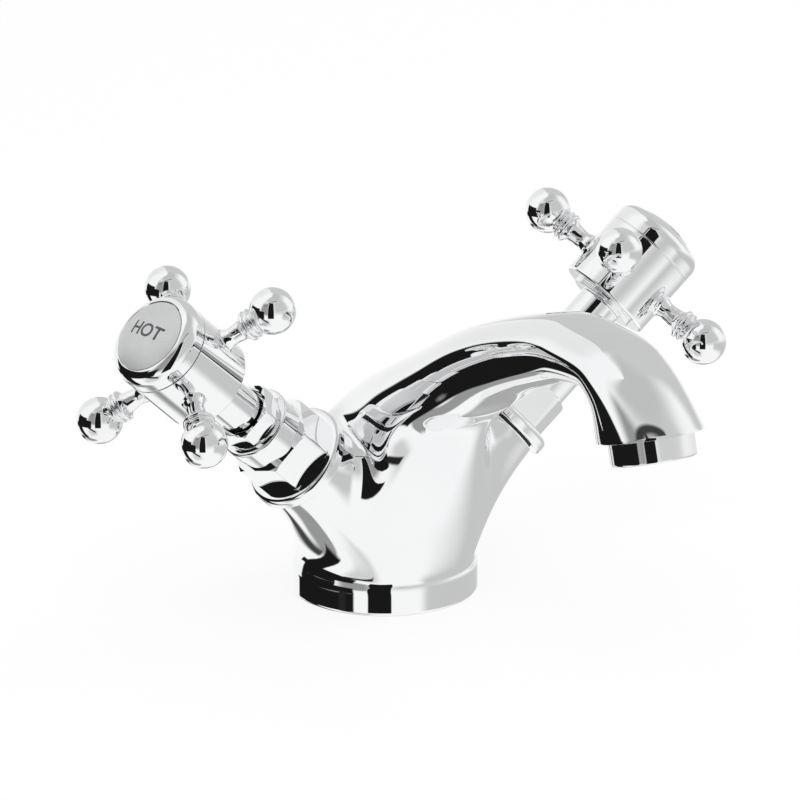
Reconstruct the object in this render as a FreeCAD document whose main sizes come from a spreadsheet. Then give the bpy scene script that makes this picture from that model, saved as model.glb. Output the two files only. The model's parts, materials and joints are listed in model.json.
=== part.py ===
# Basin mixer with two crosshead valves, as a parametric document in millimetres and degrees.
# The origin is the middle of the foot on the deck, +Z is up, and the spout points along -Y.
# The hot valve stands on the -X side and the cold valve on the +X side.
import FreeCAD, Part
import math
import os
import Sketcher

doc = FreeCAD.newDocument("basin_mixer")

# Driving sizes, one cell each
SIZES = {
    # Play between neighbours
    "thread_play": 0.05,
    "turning_play": 0.08,
    "end_play": 0.4,
    # Foot of the casting and what sits under it
    "foot_radius": 26.0,
    "foot_height": 6.0,
    "foot_edge": 1.4,
    "foot_lip": 2.4,
    "gasket_width": 3.0,
    "gasket_height": 2.0,
    "foot_web": 2.1,
    "block_height": 13.0,
    "inlet_radius": 5.0,
    "inlet_depth": 9.0,
    "inlet_spread": 9.5,
    "inlet_forward": 3.0,
    "stud_radius": 4.0,
    "stud_depth": 10.0,
    "stud_back": 10.0,
    # Cross-sections of the casting from the foot to the tip: step forwards and climb from the one before
    "waist_step": 0.6,
    "waist_climb": 6.0,
    "waist_angle": 2.0,
    "waist_inset": 1.1,
    "waist_side_extra": 0.2,
    "pedestal_step": 2.6,
    "pedestal_climb": 19.2,
    "pedestal_angle": 12.0,
    "pedestal_half_depth": 25.4,
    "pedestal_side_extra": 1.0,
    "shoulder_step": 9.6,
    "shoulder_climb": 19.3,
    "shoulder_angle": 17.0,
    "shoulder_half_depth": 20.4,
    "shoulder_side_extra": 2.6,
    "root_step": 14.3,
    "root_climb": 12.9,
    "root_angle": 30.0,
    "root_half_depth": 14.2,
    "root_side_extra": 4.4,
    "rise_step": 15.2,
    "rise_climb": 9.4,
    "rise_angle": 46.0,
    "rise_half_depth": 12.0,
    "rise_side_extra": 5.0,
    "reach_step": 17.4,
    "reach_climb": 10.0,
    "reach_angle": 58.0,
    "reach_half_depth": 10.7,
    "reach_side_extra": 4.6,
    "crest_step": 24.2,
    "crest_climb": 9.1,
    "crest_angle": 77.0,
    "crest_half_depth": 9.3,
    "crest_side_extra": 4.4,
    "bend_step": 21.1,
    "bend_climb": 2.3,
    "bend_angle": 98.0,
    "bend_half_depth": 7.1,
    "bend_side_extra": 6.0,
    "drop_step": 10.5,
    "drop_fall": 4.0,
    "drop_angle": 128.0,
    "drop_half_depth": 8.2,
    "drop_side_extra": 5.0,
    "tip_step": 9.1,
    "tip_fall": 11.5,
    "tip_angle": 164.5,
    "tip_rim": 2.75,
    "tip_side_extra": 0.2,
    # Outlet under the tip
    "outlet_wall": 1.8,
    "outlet_drop": 6.5,
    "outlet_edge": 0.9,
    "outlet_roof": 0.9,
    "outlet_spigot_wall": 2.2,
    "outlet_spigot_length": 4.0,
    "outlet_bore_radius": 6.2,
    "aerator_ledge": 3.4,
    "aerator_height": 3.0,
    "aerator_washer_height": 0.8,
    "aerator_hole_radius": 0.7,
    "aerator_hole_circle": 6.6,
    # Valve axes: they leave the casting at one point on its middle plane, near the waist
    "valve_root_step": 2.9,
    "valve_root_climb": 3.46,
    "valve_tilt": 48.15,
    "valve_turn": 7.43,
    # Valve bosses of the casting, measured along the valve axis
    "boss_face": 43.8,
    "boss_rim": 3.6,
    "boss_length": 29.8,
    "boss_flare": 6.4,
    "boss_hollow": 1.0,
    "spot_face_play": 0.3,
    # Valve housing
    "housing_gasket_height": 0.6,
    "housing_gasket_width": 2.95,
    "flange_overhang": 2.4,
    "flange_height": 3.8,
    "flange_edge": 1.5,
    "housing_flats": 22.0,
    "housing_hex_height": 10.8,
    "housing_hex_chamfer": 0.9,
    "hex_phase": 46.3,
    "barrel_radius": 10.5,
    "barrel_length": 7.6,
    "barrel_edge": 0.7,
    "stub_wall": 2.0,
    "stub_length": 14.0,
    "chamber_radius": 7.0,
    # Gland nut
    "gland_thread_wall": 3.02,
    "gland_thread_length": 6.2,
    "gland_collar_width": 1.4,
    "gland_collar_height": 1.2,
    "gland_hex_wall": 0.9,
    "gland_hex_height": 4.6,
    "gland_hex_chamfer": 0.8,
    "gland_recess_play": 0.7,
    "gland_recess_depth": 2.8,
    # Ceramic discs and their seal
    "seat_seal_height": 1.8,
    "seat_seal_wall": 2.2,
    "fixed_disc_height": 2.6,
    "moving_disc_height": 2.2,
    "port_radius": 2.2,
    "port_offset": 3.4,
    "thrust_washer_height": 0.8,
    # Spindle
    "spindle_radius": 4.5,
    "spindle_head_height": 2.6,
    "spindle_shoulder": 0.7,
    "o_ring_thickness": 1.7,
    "o_ring_set_back": 3.6,
    "sleeve_play": 0.7,
    "sleeve_wall": 1.2,
    "sleeve_length": 17.6,
    # Crosshead
    "hub_radius": 13.5,
    "hub_length": 19.1,
    "hub_foot_inset": 3.9,
    "hub_foot_height": 1.3,
    "hub_wall": 3.9,
    "hub_pocket_depth": 7.0,
    "hub_web": 3.55,
    "cap_height": 6.8,
    "cap_round": 4.0,
    "cap_rim": 3.2,
    "cap_lip_width": 0.95,
    "cap_spigot_length": 3.6,
    "cap_wall": 1.6,
    "index_seat_depth": 1.5,
    "index_rim_height": 1.3,
    "index_dome_height": 2.2,
    "screw_radius": 2.5,
    "screw_length": 11.0,
    "screw_head_width": 1.7,
    "screw_head_height": 2.6,
    "screw_slot_width": 1.2,
    "screw_slot_depth": 1.2,
    # Handle arms, measured outwards from the drum
    "arm_height": 9.2,
    "arm_sink": 0.4,
    "arm_spigot_radius": 1.9,
    "arm_spigot_length": 5.0,
    "arm_shoulder": 1.0,
    "arm_waist_radius": 2.45,
    "arm_neck_radius": 2.75,
    "arm_neck_length": 5.5,
    "arm_flare_length": 1.9,
    "bead_radius": 4.4,
    "bead_width": 1.3,
    "bead_bulge": 0.33,
    "groove_radius": 3.6,
    "groove_width": 0.5,
    "ring_radius": 4.3,
    "ring_width": 0.8,
    "ring_bulge": 0.2,
    "ball_neck": 0.6,
    "ball_radius": 6.4,
    # Turn of each crosshead about its axis in the closed position
    "hot_handle_phase": 50.4,
    "cold_handle_phase": 46.3,
}

# Counts
HEX_SIDES = 6
ARM_COUNT = 4
JET_COUNT = 12

# How far the casting's half sections run past its middle before they are trimmed
OVERLAP = 2


class Size:
    """A size of the sheet, or one worked out from them: its value and the expression that gives it."""

    def __init__(self, value, text):
        self.value = value
        self.text = text

    @staticmethod
    def of(other):
        if isinstance(other, Size):
            return other
        return Size(float(other), repr(float(other)))

    def joined(self, sign, other, value):
        return Size(value, "(" + self.text + " " + sign + " " + other.text + ")")

    def __add__(self, other):
        other = Size.of(other)
        return self.joined("+", other, self.value + other.value)

    def __sub__(self, other):
        other = Size.of(other)
        return self.joined("-", other, self.value - other.value)

    def __mul__(self, other):
        other = Size.of(other)
        return self.joined("*", other, self.value * other.value)

    def __truediv__(self, other):
        other = Size.of(other)
        return self.joined("/", other, self.value / other.value)

    def __radd__(self, other):
        return Size.of(other) + self

    def __rsub__(self, other):
        return Size.of(other) - self

    def __rmul__(self, other):
        return Size.of(other) * self

    def __neg__(self):
        return 0 - self


class Sizes:
    """The driving sizes by name."""


size = Sizes()
sheet = doc.addObject("Spreadsheet::Sheet", "Sizes")
for row, (name, number) in enumerate(SIZES.items(), start=1):
    sheet.set("A" + str(row), name)
    sheet.set("B" + str(row), str(number))
    sheet.setAlias("B" + str(row), name)
    setattr(size, name, Size(number, "Sizes." + name))
doc.recompute()


def root(amount):
    """Square root of a size."""
    return Size(math.sqrt(amount.value), "sqrt(" + amount.text + ")")


def bulge_radius(chord, bulge):
    """Radius of an arc that stands a bulge high over a chord."""
    return (chord * chord / 4 + bulge * bulge) / (2 * bulge)


def bind(thing, prop, amount):
    """Tie one property to a size."""
    thing.setExpression(prop, Size.of(amount).text)


def origin_feature(body, role):
    """One of a body's own origin planes or axes."""
    return next(f for f in body.Origin.OriginFeatures if f.Role == role)


def new_sketch(body, name, role):
    """An empty sketch on one of the body's origin planes."""
    sketch = body.newObject("Sketcher::SketchObject", name)
    sketch.AttachmentSupport = (origin_feature(body, role), [""])
    sketch.MapMode = "FlatFace"
    return sketch


def edge_between(start, end, bend):
    """A line, or an arc that bulges outwards (bend above 0) or inwards, and which end comes first."""
    if bend is None:
        return Part.LineSegment(start, end), (1, 2)
    chord = end - start
    left = FreeCAD.Vector(-chord.y, chord.x, 0).normalize()
    rise = math.sqrt(max(bend.value ** 2 - (chord.Length / 2) ** 2, 0.0))
    centre = (start + end) * 0.5 + left * math.copysign(rise, bend.value)
    circle = Part.Circle(centre, FreeCAD.Vector(0, 0, 1), abs(bend.value))
    first, last, ends = (start, end, (1, 2)) if bend.value > 0 else (end, start, (2, 1))
    angles = [math.atan2(p.y - centre.y, p.x - centre.x) for p in (first, last)]
    return Part.ArcOfCircle(circle, angles[0], angles[1]), ends


def draw_outline(sketch, corners):
    """Closed outline through (radius, height) corners; a third item bends the edge that arrives there."""
    points = [FreeCAD.Vector(Size.of(c[0]).value, Size.of(c[1]).value, 0) for c in corners]
    bends = [c[2] if len(c) > 2 else None for c in corners]
    count = len(corners)
    ends = []
    for i in range(count):
        after = (i + 1) % count
        edge, order = edge_between(points[i], points[after], bends[after])
        sketch.addGeometry(edge, False)
        ends.append(order)
    for i in range(count):
        after = (i + 1) % count
        sketch.addConstraint(Sketcher.Constraint("Coincident", i, ends[i][1], after, ends[after][0]))
        if bends[after] is not None:
            radius = bends[after] if bends[after].value > 0 else -bends[after]
            number = sketch.addConstraint(Sketcher.Constraint("Radius", i, radius.value))
            bind(sketch, "Constraints[" + str(number) + "]", radius)
    for i, corner in enumerate(corners):
        for kind, axis, amount in (("DistanceX", -2, corner[0]), ("DistanceY", -1, corner[1])):
            if not isinstance(amount, Size):
                sketch.addConstraint(Sketcher.Constraint("PointOnObject", i, ends[i][0], axis))
                continue
            number = sketch.addConstraint(Sketcher.Constraint(kind, -1, 1, i, ends[i][0], amount.value))
            bind(sketch, "Constraints[" + str(number) + "]", amount)


def turned(label, corners):
    """A body turned about its own Z axis from an outline that runs anticlockwise in (radius, height)."""
    body = doc.addObject("PartDesign::Body", label)
    sketch = new_sketch(body, label + "_outline", "XZ_Plane")
    draw_outline(sketch, corners)
    turn = body.newObject("PartDesign::Revolution", label + "_turn")
    turn.Profile = sketch
    turn.ReferenceAxis = (sketch, ["V_Axis"])
    turn.Angle = 360
    return body


def ring(label, inner, outer, low, high):
    """A plain ring between two radii and two heights."""
    return turned(label, [(inner, low), (outer, low), (outer, high), (inner, high)])


def cylinder(label, radius, height, place):
    """A plain cylinder that stands on a placement."""
    solid = doc.addObject("Part::Cylinder", label)
    bind(solid, "Radius", radius)
    bind(solid, "Height", height)
    solid.setExpression("Placement", place)
    return solid


def fused(label, solids):
    """Several solids as one."""
    joint = doc.addObject("Part::MultiFuse", label)
    joint.Shapes = solids
    joint.Refine = True
    return joint


def cut(label, base, tool):
    """A solid with another taken out of it."""
    result = doc.addObject("Part::Cut", label)
    result.Base = base
    result.Tool = tool
    result.Refine = True
    return result


def hexagon(label, flats, low, height, chamfer):
    """A hexagonal length of bar whose upper corners are turned off."""
    corner = flats / math.sqrt(3)
    prism = doc.addObject("Part::Prism", label + "_bar")
    prism.Polygon = HEX_SIDES
    bind(prism, "Circumradius", corner)
    bind(prism, "Height", height)
    prism.setExpression("Placement", placed(0, 0, low, size.hex_phase, 0, 0))
    high = low + height
    blank = turned(label + "_blank", [
        (0, low), (corner + chamfer, low), (corner + chamfer, high - chamfer),
        (flats / 2, high), (0, high),
    ])
    common = doc.addObject("Part::Common", label)
    common.Base = prism
    common.Tool = blank
    return common


def placed(x, y, z, yaw, pitch, roll):
    """Expression of a placement: a point, then turns about X, Y and Z in that order."""
    point = "; ".join(Size.of(v).text for v in (x, y, z))
    turn = "; ".join(Size.of(v).text for v in (yaw, pitch, roll))
    return "placement(vector(" + point + "); rotation(" + turn + "))"


NODES = []


def node(solid, label, place=None):
    """Name a finished sub-part and put it in its place."""
    solid.Label = label
    if place is not None:
        solid.setExpression("Placement", place)
    NODES.append(solid)
    return solid


# Radii that follow from the wall or the gap between neighbours
gasket_outer = size.foot_radius - size.foot_lip
gasket_inner = gasket_outer - size.gasket_width
block_radius = gasket_inner - size.foot_web
spigot_wall = size.outlet_bore_radius + size.outlet_spigot_wall
aerator_radius = size.outlet_bore_radius + size.aerator_ledge
chamber_wall = aerator_radius + size.thread_play
outlet_radius = chamber_wall + size.outlet_wall
stub_radius = size.chamber_radius + size.stub_wall
boss_face_radius = stub_radius + size.boss_rim
boss_root_radius = boss_face_radius + size.boss_flare
flange_radius = boss_face_radius + size.flange_overhang
spindle_bore = size.spindle_radius + size.turning_play
sleeve_inside = size.spindle_radius + size.sleeve_play
sleeve_radius = sleeve_inside + size.sleeve_wall
recess_radius = sleeve_radius + size.gland_recess_play
gland_flats = 2 * (recess_radius + size.gland_hex_wall)
gland_thread = spindle_bore + size.gland_thread_wall
spindle_top_radius = size.spindle_radius - size.spindle_shoulder
pocket_radius = size.hub_radius - size.hub_wall
index_radius = size.hub_radius - size.cap_rim
screw_head_radius = size.screw_radius + size.screw_head_width
arm_root_radius = size.arm_spigot_radius + size.arm_shoulder

# Heights along a valve axis, from the point where the axes meet
flange_low = size.boss_face + size.housing_gasket_height
flange_high = flange_low + size.flange_height
hex_high = flange_high + size.housing_hex_height
barrel_high = hex_high + size.barrel_length
stub_low = flange_low - size.stub_length
bore_floor = stub_low - size.seat_seal_height
gland_low = barrel_high - size.gland_thread_length
gland_hex_low = barrel_high + size.gland_collar_height
gland_high = gland_hex_low + size.gland_hex_height
recess_floor = gland_high - size.gland_recess_depth
sleeve_low = recess_floor + size.end_play
hub_foot_low = sleeve_low + size.sleeve_length
hub_low = hub_foot_low + size.hub_foot_height
hub_high = hub_low + size.hub_length
pocket_floor = hub_high - size.hub_pocket_depth
cap_high = hub_high + size.cap_height
index_low = cap_high - size.index_seat_depth
hole_roof = pocket_floor - size.hub_web
spindle_top = hole_roof - size.thread_play
moving_disc_low = stub_low + size.fixed_disc_height
spindle_low = moving_disc_low + size.moving_disc_height
spindle_head_high = spindle_low + size.spindle_head_height
chamber_roof = spindle_head_high + size.thrust_washer_height + size.turning_play

VALVES = {
    "hot": (180 + size.valve_turn, size.hot_handle_phase),
    "cold": (-size.valve_turn, size.cold_handle_phase),
}


def valve_place(side):
    """The frame of one valve: Z along its axis, X outwards and down."""
    yaw = VALVES[side][0]
    forward = size.waist_step + size.valve_root_step
    level = size.foot_height + size.waist_climb + size.valve_root_climb
    return placed(0, -forward, level, yaw, size.valve_tilt, 0)


def handle_place(side):
    """The frame of one crosshead: the valve's frame turned to the handle's closed position."""
    return valve_place(side) + " * " + placed(0, 0, 0, VALVES[side][1], 0, 0)


# Casting: half sections lofted, trimmed flat and mirrored, with the foot and two hollow-sided valve bosses
def section(name, forward, level, angle, half_depth, side_extra):
    """Right half of an elliptical section, leaning forwards from level and run a little past the middle."""
    arc = doc.addObject("Part::Ellipse", name + "_arc")
    bind(arc, "MajorRadius", half_depth + side_extra)
    bind(arc, "MinorRadius", half_depth)
    arc.Angle1 = 270
    arc.Angle2 = 90
    edges = [arc]
    corners = [(0, half_depth), (-OVERLAP, half_depth), (-OVERLAP, -half_depth), (0, -half_depth)]
    for number, (start, end) in enumerate(zip(corners, corners[1:]), start=1):
        edge = doc.addObject("Part::Line", name + "_edge_" + str(number))
        for prop, amount in zip(("X1", "Y1", "Z1", "X2", "Y2", "Z2"), start + (0,) + end + (0,)):
            bind(edge, prop, amount)
        edges.append(edge)
    outline = doc.addObject("Part::Compound", name + "_section")
    outline.Links = edges
    outline.setExpression("Placement", placed(0, -forward, level, 0, 0, angle))
    return outline


HALF_DEPTHS = {
    "waist": size.foot_radius - size.waist_inset,
    "pedestal": size.pedestal_half_depth,
    "shoulder": size.shoulder_half_depth,
    "root": size.root_half_depth,
    "rise": size.rise_half_depth,
    "reach": size.reach_half_depth,
    "crest": size.crest_half_depth,
    "bend": size.bend_half_depth,
    "drop": size.drop_half_depth,
    "tip": outlet_radius + size.tip_rim,
}
FALLING = ("drop", "tip")
forward = Size.of(0)
level = size.foot_height
sections = [section("foot", forward, level, Size.of(0), size.foot_radius, Size.of(0))]
for name, half_depth in HALF_DEPTHS.items():
    forward = forward + getattr(size, name + "_step")
    if name in FALLING:
        level = level - getattr(size, name + "_fall")
    else:
        level = level + getattr(size, name + "_climb")
    angle = getattr(size, name + "_angle")
    sections.append(section(name, forward, level, angle, half_depth, getattr(size, name + "_side_extra")))
half_loft = doc.addObject("Part::Loft", "half_loft")
half_loft.Sections = sections
half_loft.Solid = True
half_loft.Ruled = False
right_side = doc.addObject("Part::Box", "right_side")
side_room = 4 * (forward + size.foot_radius)
for prop in ("Length", "Width", "Height"):
    bind(right_side, prop, side_room)
right_side.setExpression("Placement", placed(0, -side_room / 2, -side_room / 2, 0, 0, 0))
right_half = doc.addObject("Part::Common", "right_half")
right_half.Base = half_loft
right_half.Tool = right_side
left_half = doc.addObject("Part::Mirroring", "left_half")
left_half.Source = right_half
left_half.Normal = FreeCAD.Vector(1, 0, 0)
outlet_place = placed(0, -forward, level, 0, 0, angle)

foot = turned("foot", [
    (0, 0), (size.foot_radius - size.foot_edge, 0), (size.foot_radius, size.foot_edge, size.foot_edge),
    (size.foot_radius, size.foot_height), (0, size.foot_height),
])
outer_pieces = [foot, right_half, left_half]
inner_pieces = []
boss_root = size.boss_face - size.boss_length
boss_side = root(size.boss_length * size.boss_length + size.boss_flare * size.boss_flare)
boss_bend = bulge_radius(boss_side, size.boss_hollow)
spot_face_height = size.housing_gasket_height + size.flange_height + size.housing_hex_height
for side in VALVES:
    boss = turned(side + "_boss", [
        (0, boss_root), (boss_root_radius, boss_root), (boss_face_radius, size.boss_face, -boss_bend),
        (0, size.boss_face),
    ])
    boss.setExpression("Placement", valve_place(side))
    outer_pieces.append(boss)
    bore = turned(side + "_boss_bore", [
        (0, bore_floor), (stub_radius + size.thread_play, bore_floor),
        (stub_radius + size.thread_play, size.boss_face),
        (flange_radius + size.spot_face_play, size.boss_face),
        (flange_radius + size.spot_face_play, size.boss_face + spot_face_height),
        (0, size.boss_face + spot_face_height),
    ])
    bore.setExpression("Placement", valve_place(side))
    inner_pieces.append(bore)
spigot_top = -size.outlet_spigot_length
inner_pieces.append(cylinder("outlet_bore", spigot_wall + size.thread_play,
                             size.outlet_spigot_length + size.end_play + size.outlet_drop,
                             outlet_place + " * " + placed(0, 0, spigot_top - size.end_play, 0, 0, 0)))
inner_pieces.append(cylinder("block_pocket", block_radius + size.thread_play, size.block_height,
                             placed(0, 0, 0, 0, 0, 0)))
inner_pieces.append(ring("gasket_groove", gasket_inner - size.thread_play, gasket_outer + size.thread_play,
                         0, size.gasket_height))
node(cut("casting", fused("casting_outside", outer_pieces), fused("casting_inside", inner_pieces)), "body")

# Under the foot
node(ring("gasket", gasket_inner, gasket_outer, 0, size.gasket_height), "base_gasket")
block = cylinder("block", block_radius, size.block_height, placed(0, 0, 0, 0, 0, 0))
ports = []
for name, x, y, radius, depth in (
    ("hot_inlet", -size.inlet_spread, -size.inlet_forward, size.inlet_radius, size.inlet_depth),
    ("cold_inlet", size.inlet_spread, -size.inlet_forward, size.inlet_radius, size.inlet_depth),
    ("stud_hole", 0, size.stud_back, size.stud_radius, size.stud_depth),
):
    ports.append(cylinder(name, radius, depth, placed(x, y, 0, 0, 0, 0)))
node(cut("drilled_block", block, fused("block_ports", ports)), "inlet_block")

# Outlet ring with its washer and aerator, along the way the water leaves
node(turned("outlet", [
    (size.outlet_bore_radius, spigot_top), (spigot_wall, spigot_top), (spigot_wall, 0), (outlet_radius, 0),
    (outlet_radius, size.outlet_drop - size.outlet_edge),
    (outlet_radius - size.outlet_edge, size.outlet_drop, size.outlet_edge),
    (chamber_wall, size.outlet_drop), (chamber_wall, size.outlet_roof),
    (size.outlet_bore_radius, size.outlet_roof),
]), "outlet_ring", outlet_place)
washer_low = size.outlet_roof + size.aerator_washer_height
node(ring("outlet_washer", size.outlet_bore_radius, aerator_radius, size.outlet_roof, washer_low),
     "aerator_washer", outlet_place)
insert = turned("insert", [
    (0, washer_low), (aerator_radius, washer_low),
    (aerator_radius, washer_low + size.aerator_height), (0, washer_low + size.aerator_height),
])
jets = new_sketch(insert, "insert_jet", "XY_Plane")
bind(jets, "AttachmentOffset.Base.z", washer_low)
jets.addGeometry(Part.Circle(FreeCAD.Vector(size.aerator_hole_circle.value, 0, 0), FreeCAD.Vector(0, 0, 1),
                             size.aerator_hole_radius.value), False)
jets.addConstraint(Sketcher.Constraint("PointOnObject", 0, 3, -1))
number = jets.addConstraint(Sketcher.Constraint("DistanceX", -1, 1, 0, 3, size.aerator_hole_circle.value))
bind(jets, "Constraints[" + str(number) + "]", size.aerator_hole_circle)
number = jets.addConstraint(Sketcher.Constraint("Radius", 0, size.aerator_hole_radius.value))
bind(jets, "Constraints[" + str(number) + "]", size.aerator_hole_radius)
jet = insert.newObject("PartDesign::Pocket", "insert_jet_hole")
jet.Profile = jets
jet.Type = 1
jet.Midplane = True
jet_ring = insert.newObject("PartDesign::PolarPattern", "insert_jets")
jet_ring.Originals = [jet]
jet_ring.Axis = (origin_feature(insert, "Z_Axis"), [""])
jet_ring.Angle = 360
jet_ring.Occurrences = JET_COUNT
insert.Tip = jet_ring
node(insert, "aerator_insert", outlet_place)


def ported_disc(label, radius, low, high, phase):
    """A ceramic disc with two opposite ports, at an angle from the crosshead's closed position."""
    disc = turned(label + "_blank", [(0, low), (radius, low), (radius, high), (0, high)])
    holes = []
    for name, offset in (("port", size.port_offset), ("opposite_port", -size.port_offset)):
        place = placed(0, 0, 0, phase, 0, 0) + " * " + placed(offset, 0, low, 0, 0, 0)
        holes.append(cylinder(label + "_" + name, size.port_radius, high - low, place))
    return cut(label + "_ported", disc, fused(label + "_ports", holes))


def valve_pieces(side):
    """The fixed pieces of one valve, from its seat in the casting outwards."""
    place = valve_place(side)
    node(ring(side + "_seal", stub_radius - size.seat_seal_wall, stub_radius, bore_floor, stub_low),
         side + "_seat_seal", place)
    node(ported_disc(side + "_fixed", size.chamber_radius - size.thread_play, stub_low, moving_disc_low, 0),
         side + "_fixed_disc", handle_place(side))
    gasket_wall = stub_radius + size.thread_play
    node(ring(side + "_flange_gasket", gasket_wall, gasket_wall + size.housing_gasket_width,
              size.boss_face, flange_low), side + "_housing_gasket", place)

    outside = turned(side + "_housing_outside", [
        (0, stub_low), (stub_radius, stub_low), (stub_radius, flange_low),
        (flange_radius - size.flange_edge, flange_low),
        (flange_radius, flange_low + size.flange_edge, size.flange_edge),
        (flange_radius, flange_high - size.flange_edge),
        (flange_radius - size.flange_edge, flange_high, size.flange_edge),
        (size.barrel_radius, flange_high), (size.barrel_radius, barrel_high - size.barrel_edge),
        (size.barrel_radius - size.barrel_edge, barrel_high, size.barrel_edge), (0, barrel_high),
    ])
    hexagonal = hexagon(side + "_housing_hex", size.housing_flats, flange_high, size.housing_hex_height,
                        size.housing_hex_chamfer)
    gland_bore = gland_thread + size.thread_play
    gland_collar = recess_radius + size.gland_collar_width
    gland_floor = gland_low - size.thread_play
    bore = turned(side + "_housing_bore", [
        (0, stub_low), (size.chamber_radius, stub_low), (size.chamber_radius, chamber_roof),
        (spindle_bore, chamber_roof), (spindle_bore, gland_floor), (gland_bore, gland_floor),
        (gland_bore, barrel_high), (0, barrel_high),
    ])
    node(cut(side + "_housing", fused(side + "_housing_solid", [outside, hexagonal]), bore),
         side + "_valve_housing", place)

    nut_hex = hexagon(side + "_gland_hex", gland_flats, gland_hex_low, size.gland_hex_height,
                      size.gland_hex_chamfer)
    nut_outside = turned(side + "_gland_outside", [
        (0, gland_low), (gland_thread, gland_low), (gland_thread, barrel_high),
        (gland_collar, barrel_high), (gland_collar, gland_hex_low),
        (0, gland_hex_low),
    ])
    nut_bore = turned(side + "_gland_bore", [
        (0, gland_low), (spindle_bore, gland_low), (spindle_bore, recess_floor),
        (recess_radius, recess_floor), (recess_radius, gland_high), (0, gland_high),
    ])
    node(cut(side + "_gland", fused(side + "_gland_solid", [nut_outside, nut_hex]), nut_bore),
         side + "_gland_nut", place)


def spindle_pieces(side):
    """What turns inside one valve: the ceramic disc, the spindle and its seals."""
    place = handle_place(side)
    disc_radius = size.chamber_radius - size.turning_play
    node(ported_disc(side + "_moving", disc_radius, moving_disc_low, spindle_low, 90),
         side + "_moving_disc", place)
    groove_high = gland_low + size.o_ring_set_back
    groove_low = groove_high - size.o_ring_thickness
    groove_wall = spindle_bore - size.o_ring_thickness
    screw_wall = size.screw_radius + size.thread_play
    screw_end = pocket_floor - size.screw_length
    node(turned(side + "_stem", [
        (0, spindle_low), (disc_radius, spindle_low), (disc_radius, spindle_head_high),
        (size.spindle_radius, spindle_head_high), (size.spindle_radius, groove_low),
        (groove_wall, groove_low), (groove_wall, groove_high),
        (size.spindle_radius, groove_high), (size.spindle_radius, hub_foot_low),
        (spindle_top_radius, hub_foot_low), (spindle_top_radius, spindle_top),
        (screw_wall, spindle_top), (screw_wall, screw_end), (0, screw_end),
    ]), side + "_spindle", place)
    node(ring(side + "_thrust", spindle_bore, disc_radius, spindle_head_high,
              spindle_head_high + size.thrust_washer_height), side + "_thrust_washer", place)
    half = size.o_ring_thickness / 2
    seal = doc.addObject("Part::Torus", side + "_stem_seal")
    bind(seal, "Radius1", groove_wall + half)
    bind(seal, "Radius2", half - size.turning_play / 2)
    node(seal, side + "_spindle_o_ring", place + " * " + placed(0, 0, groove_low + half, 0, 0, 0))


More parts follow.
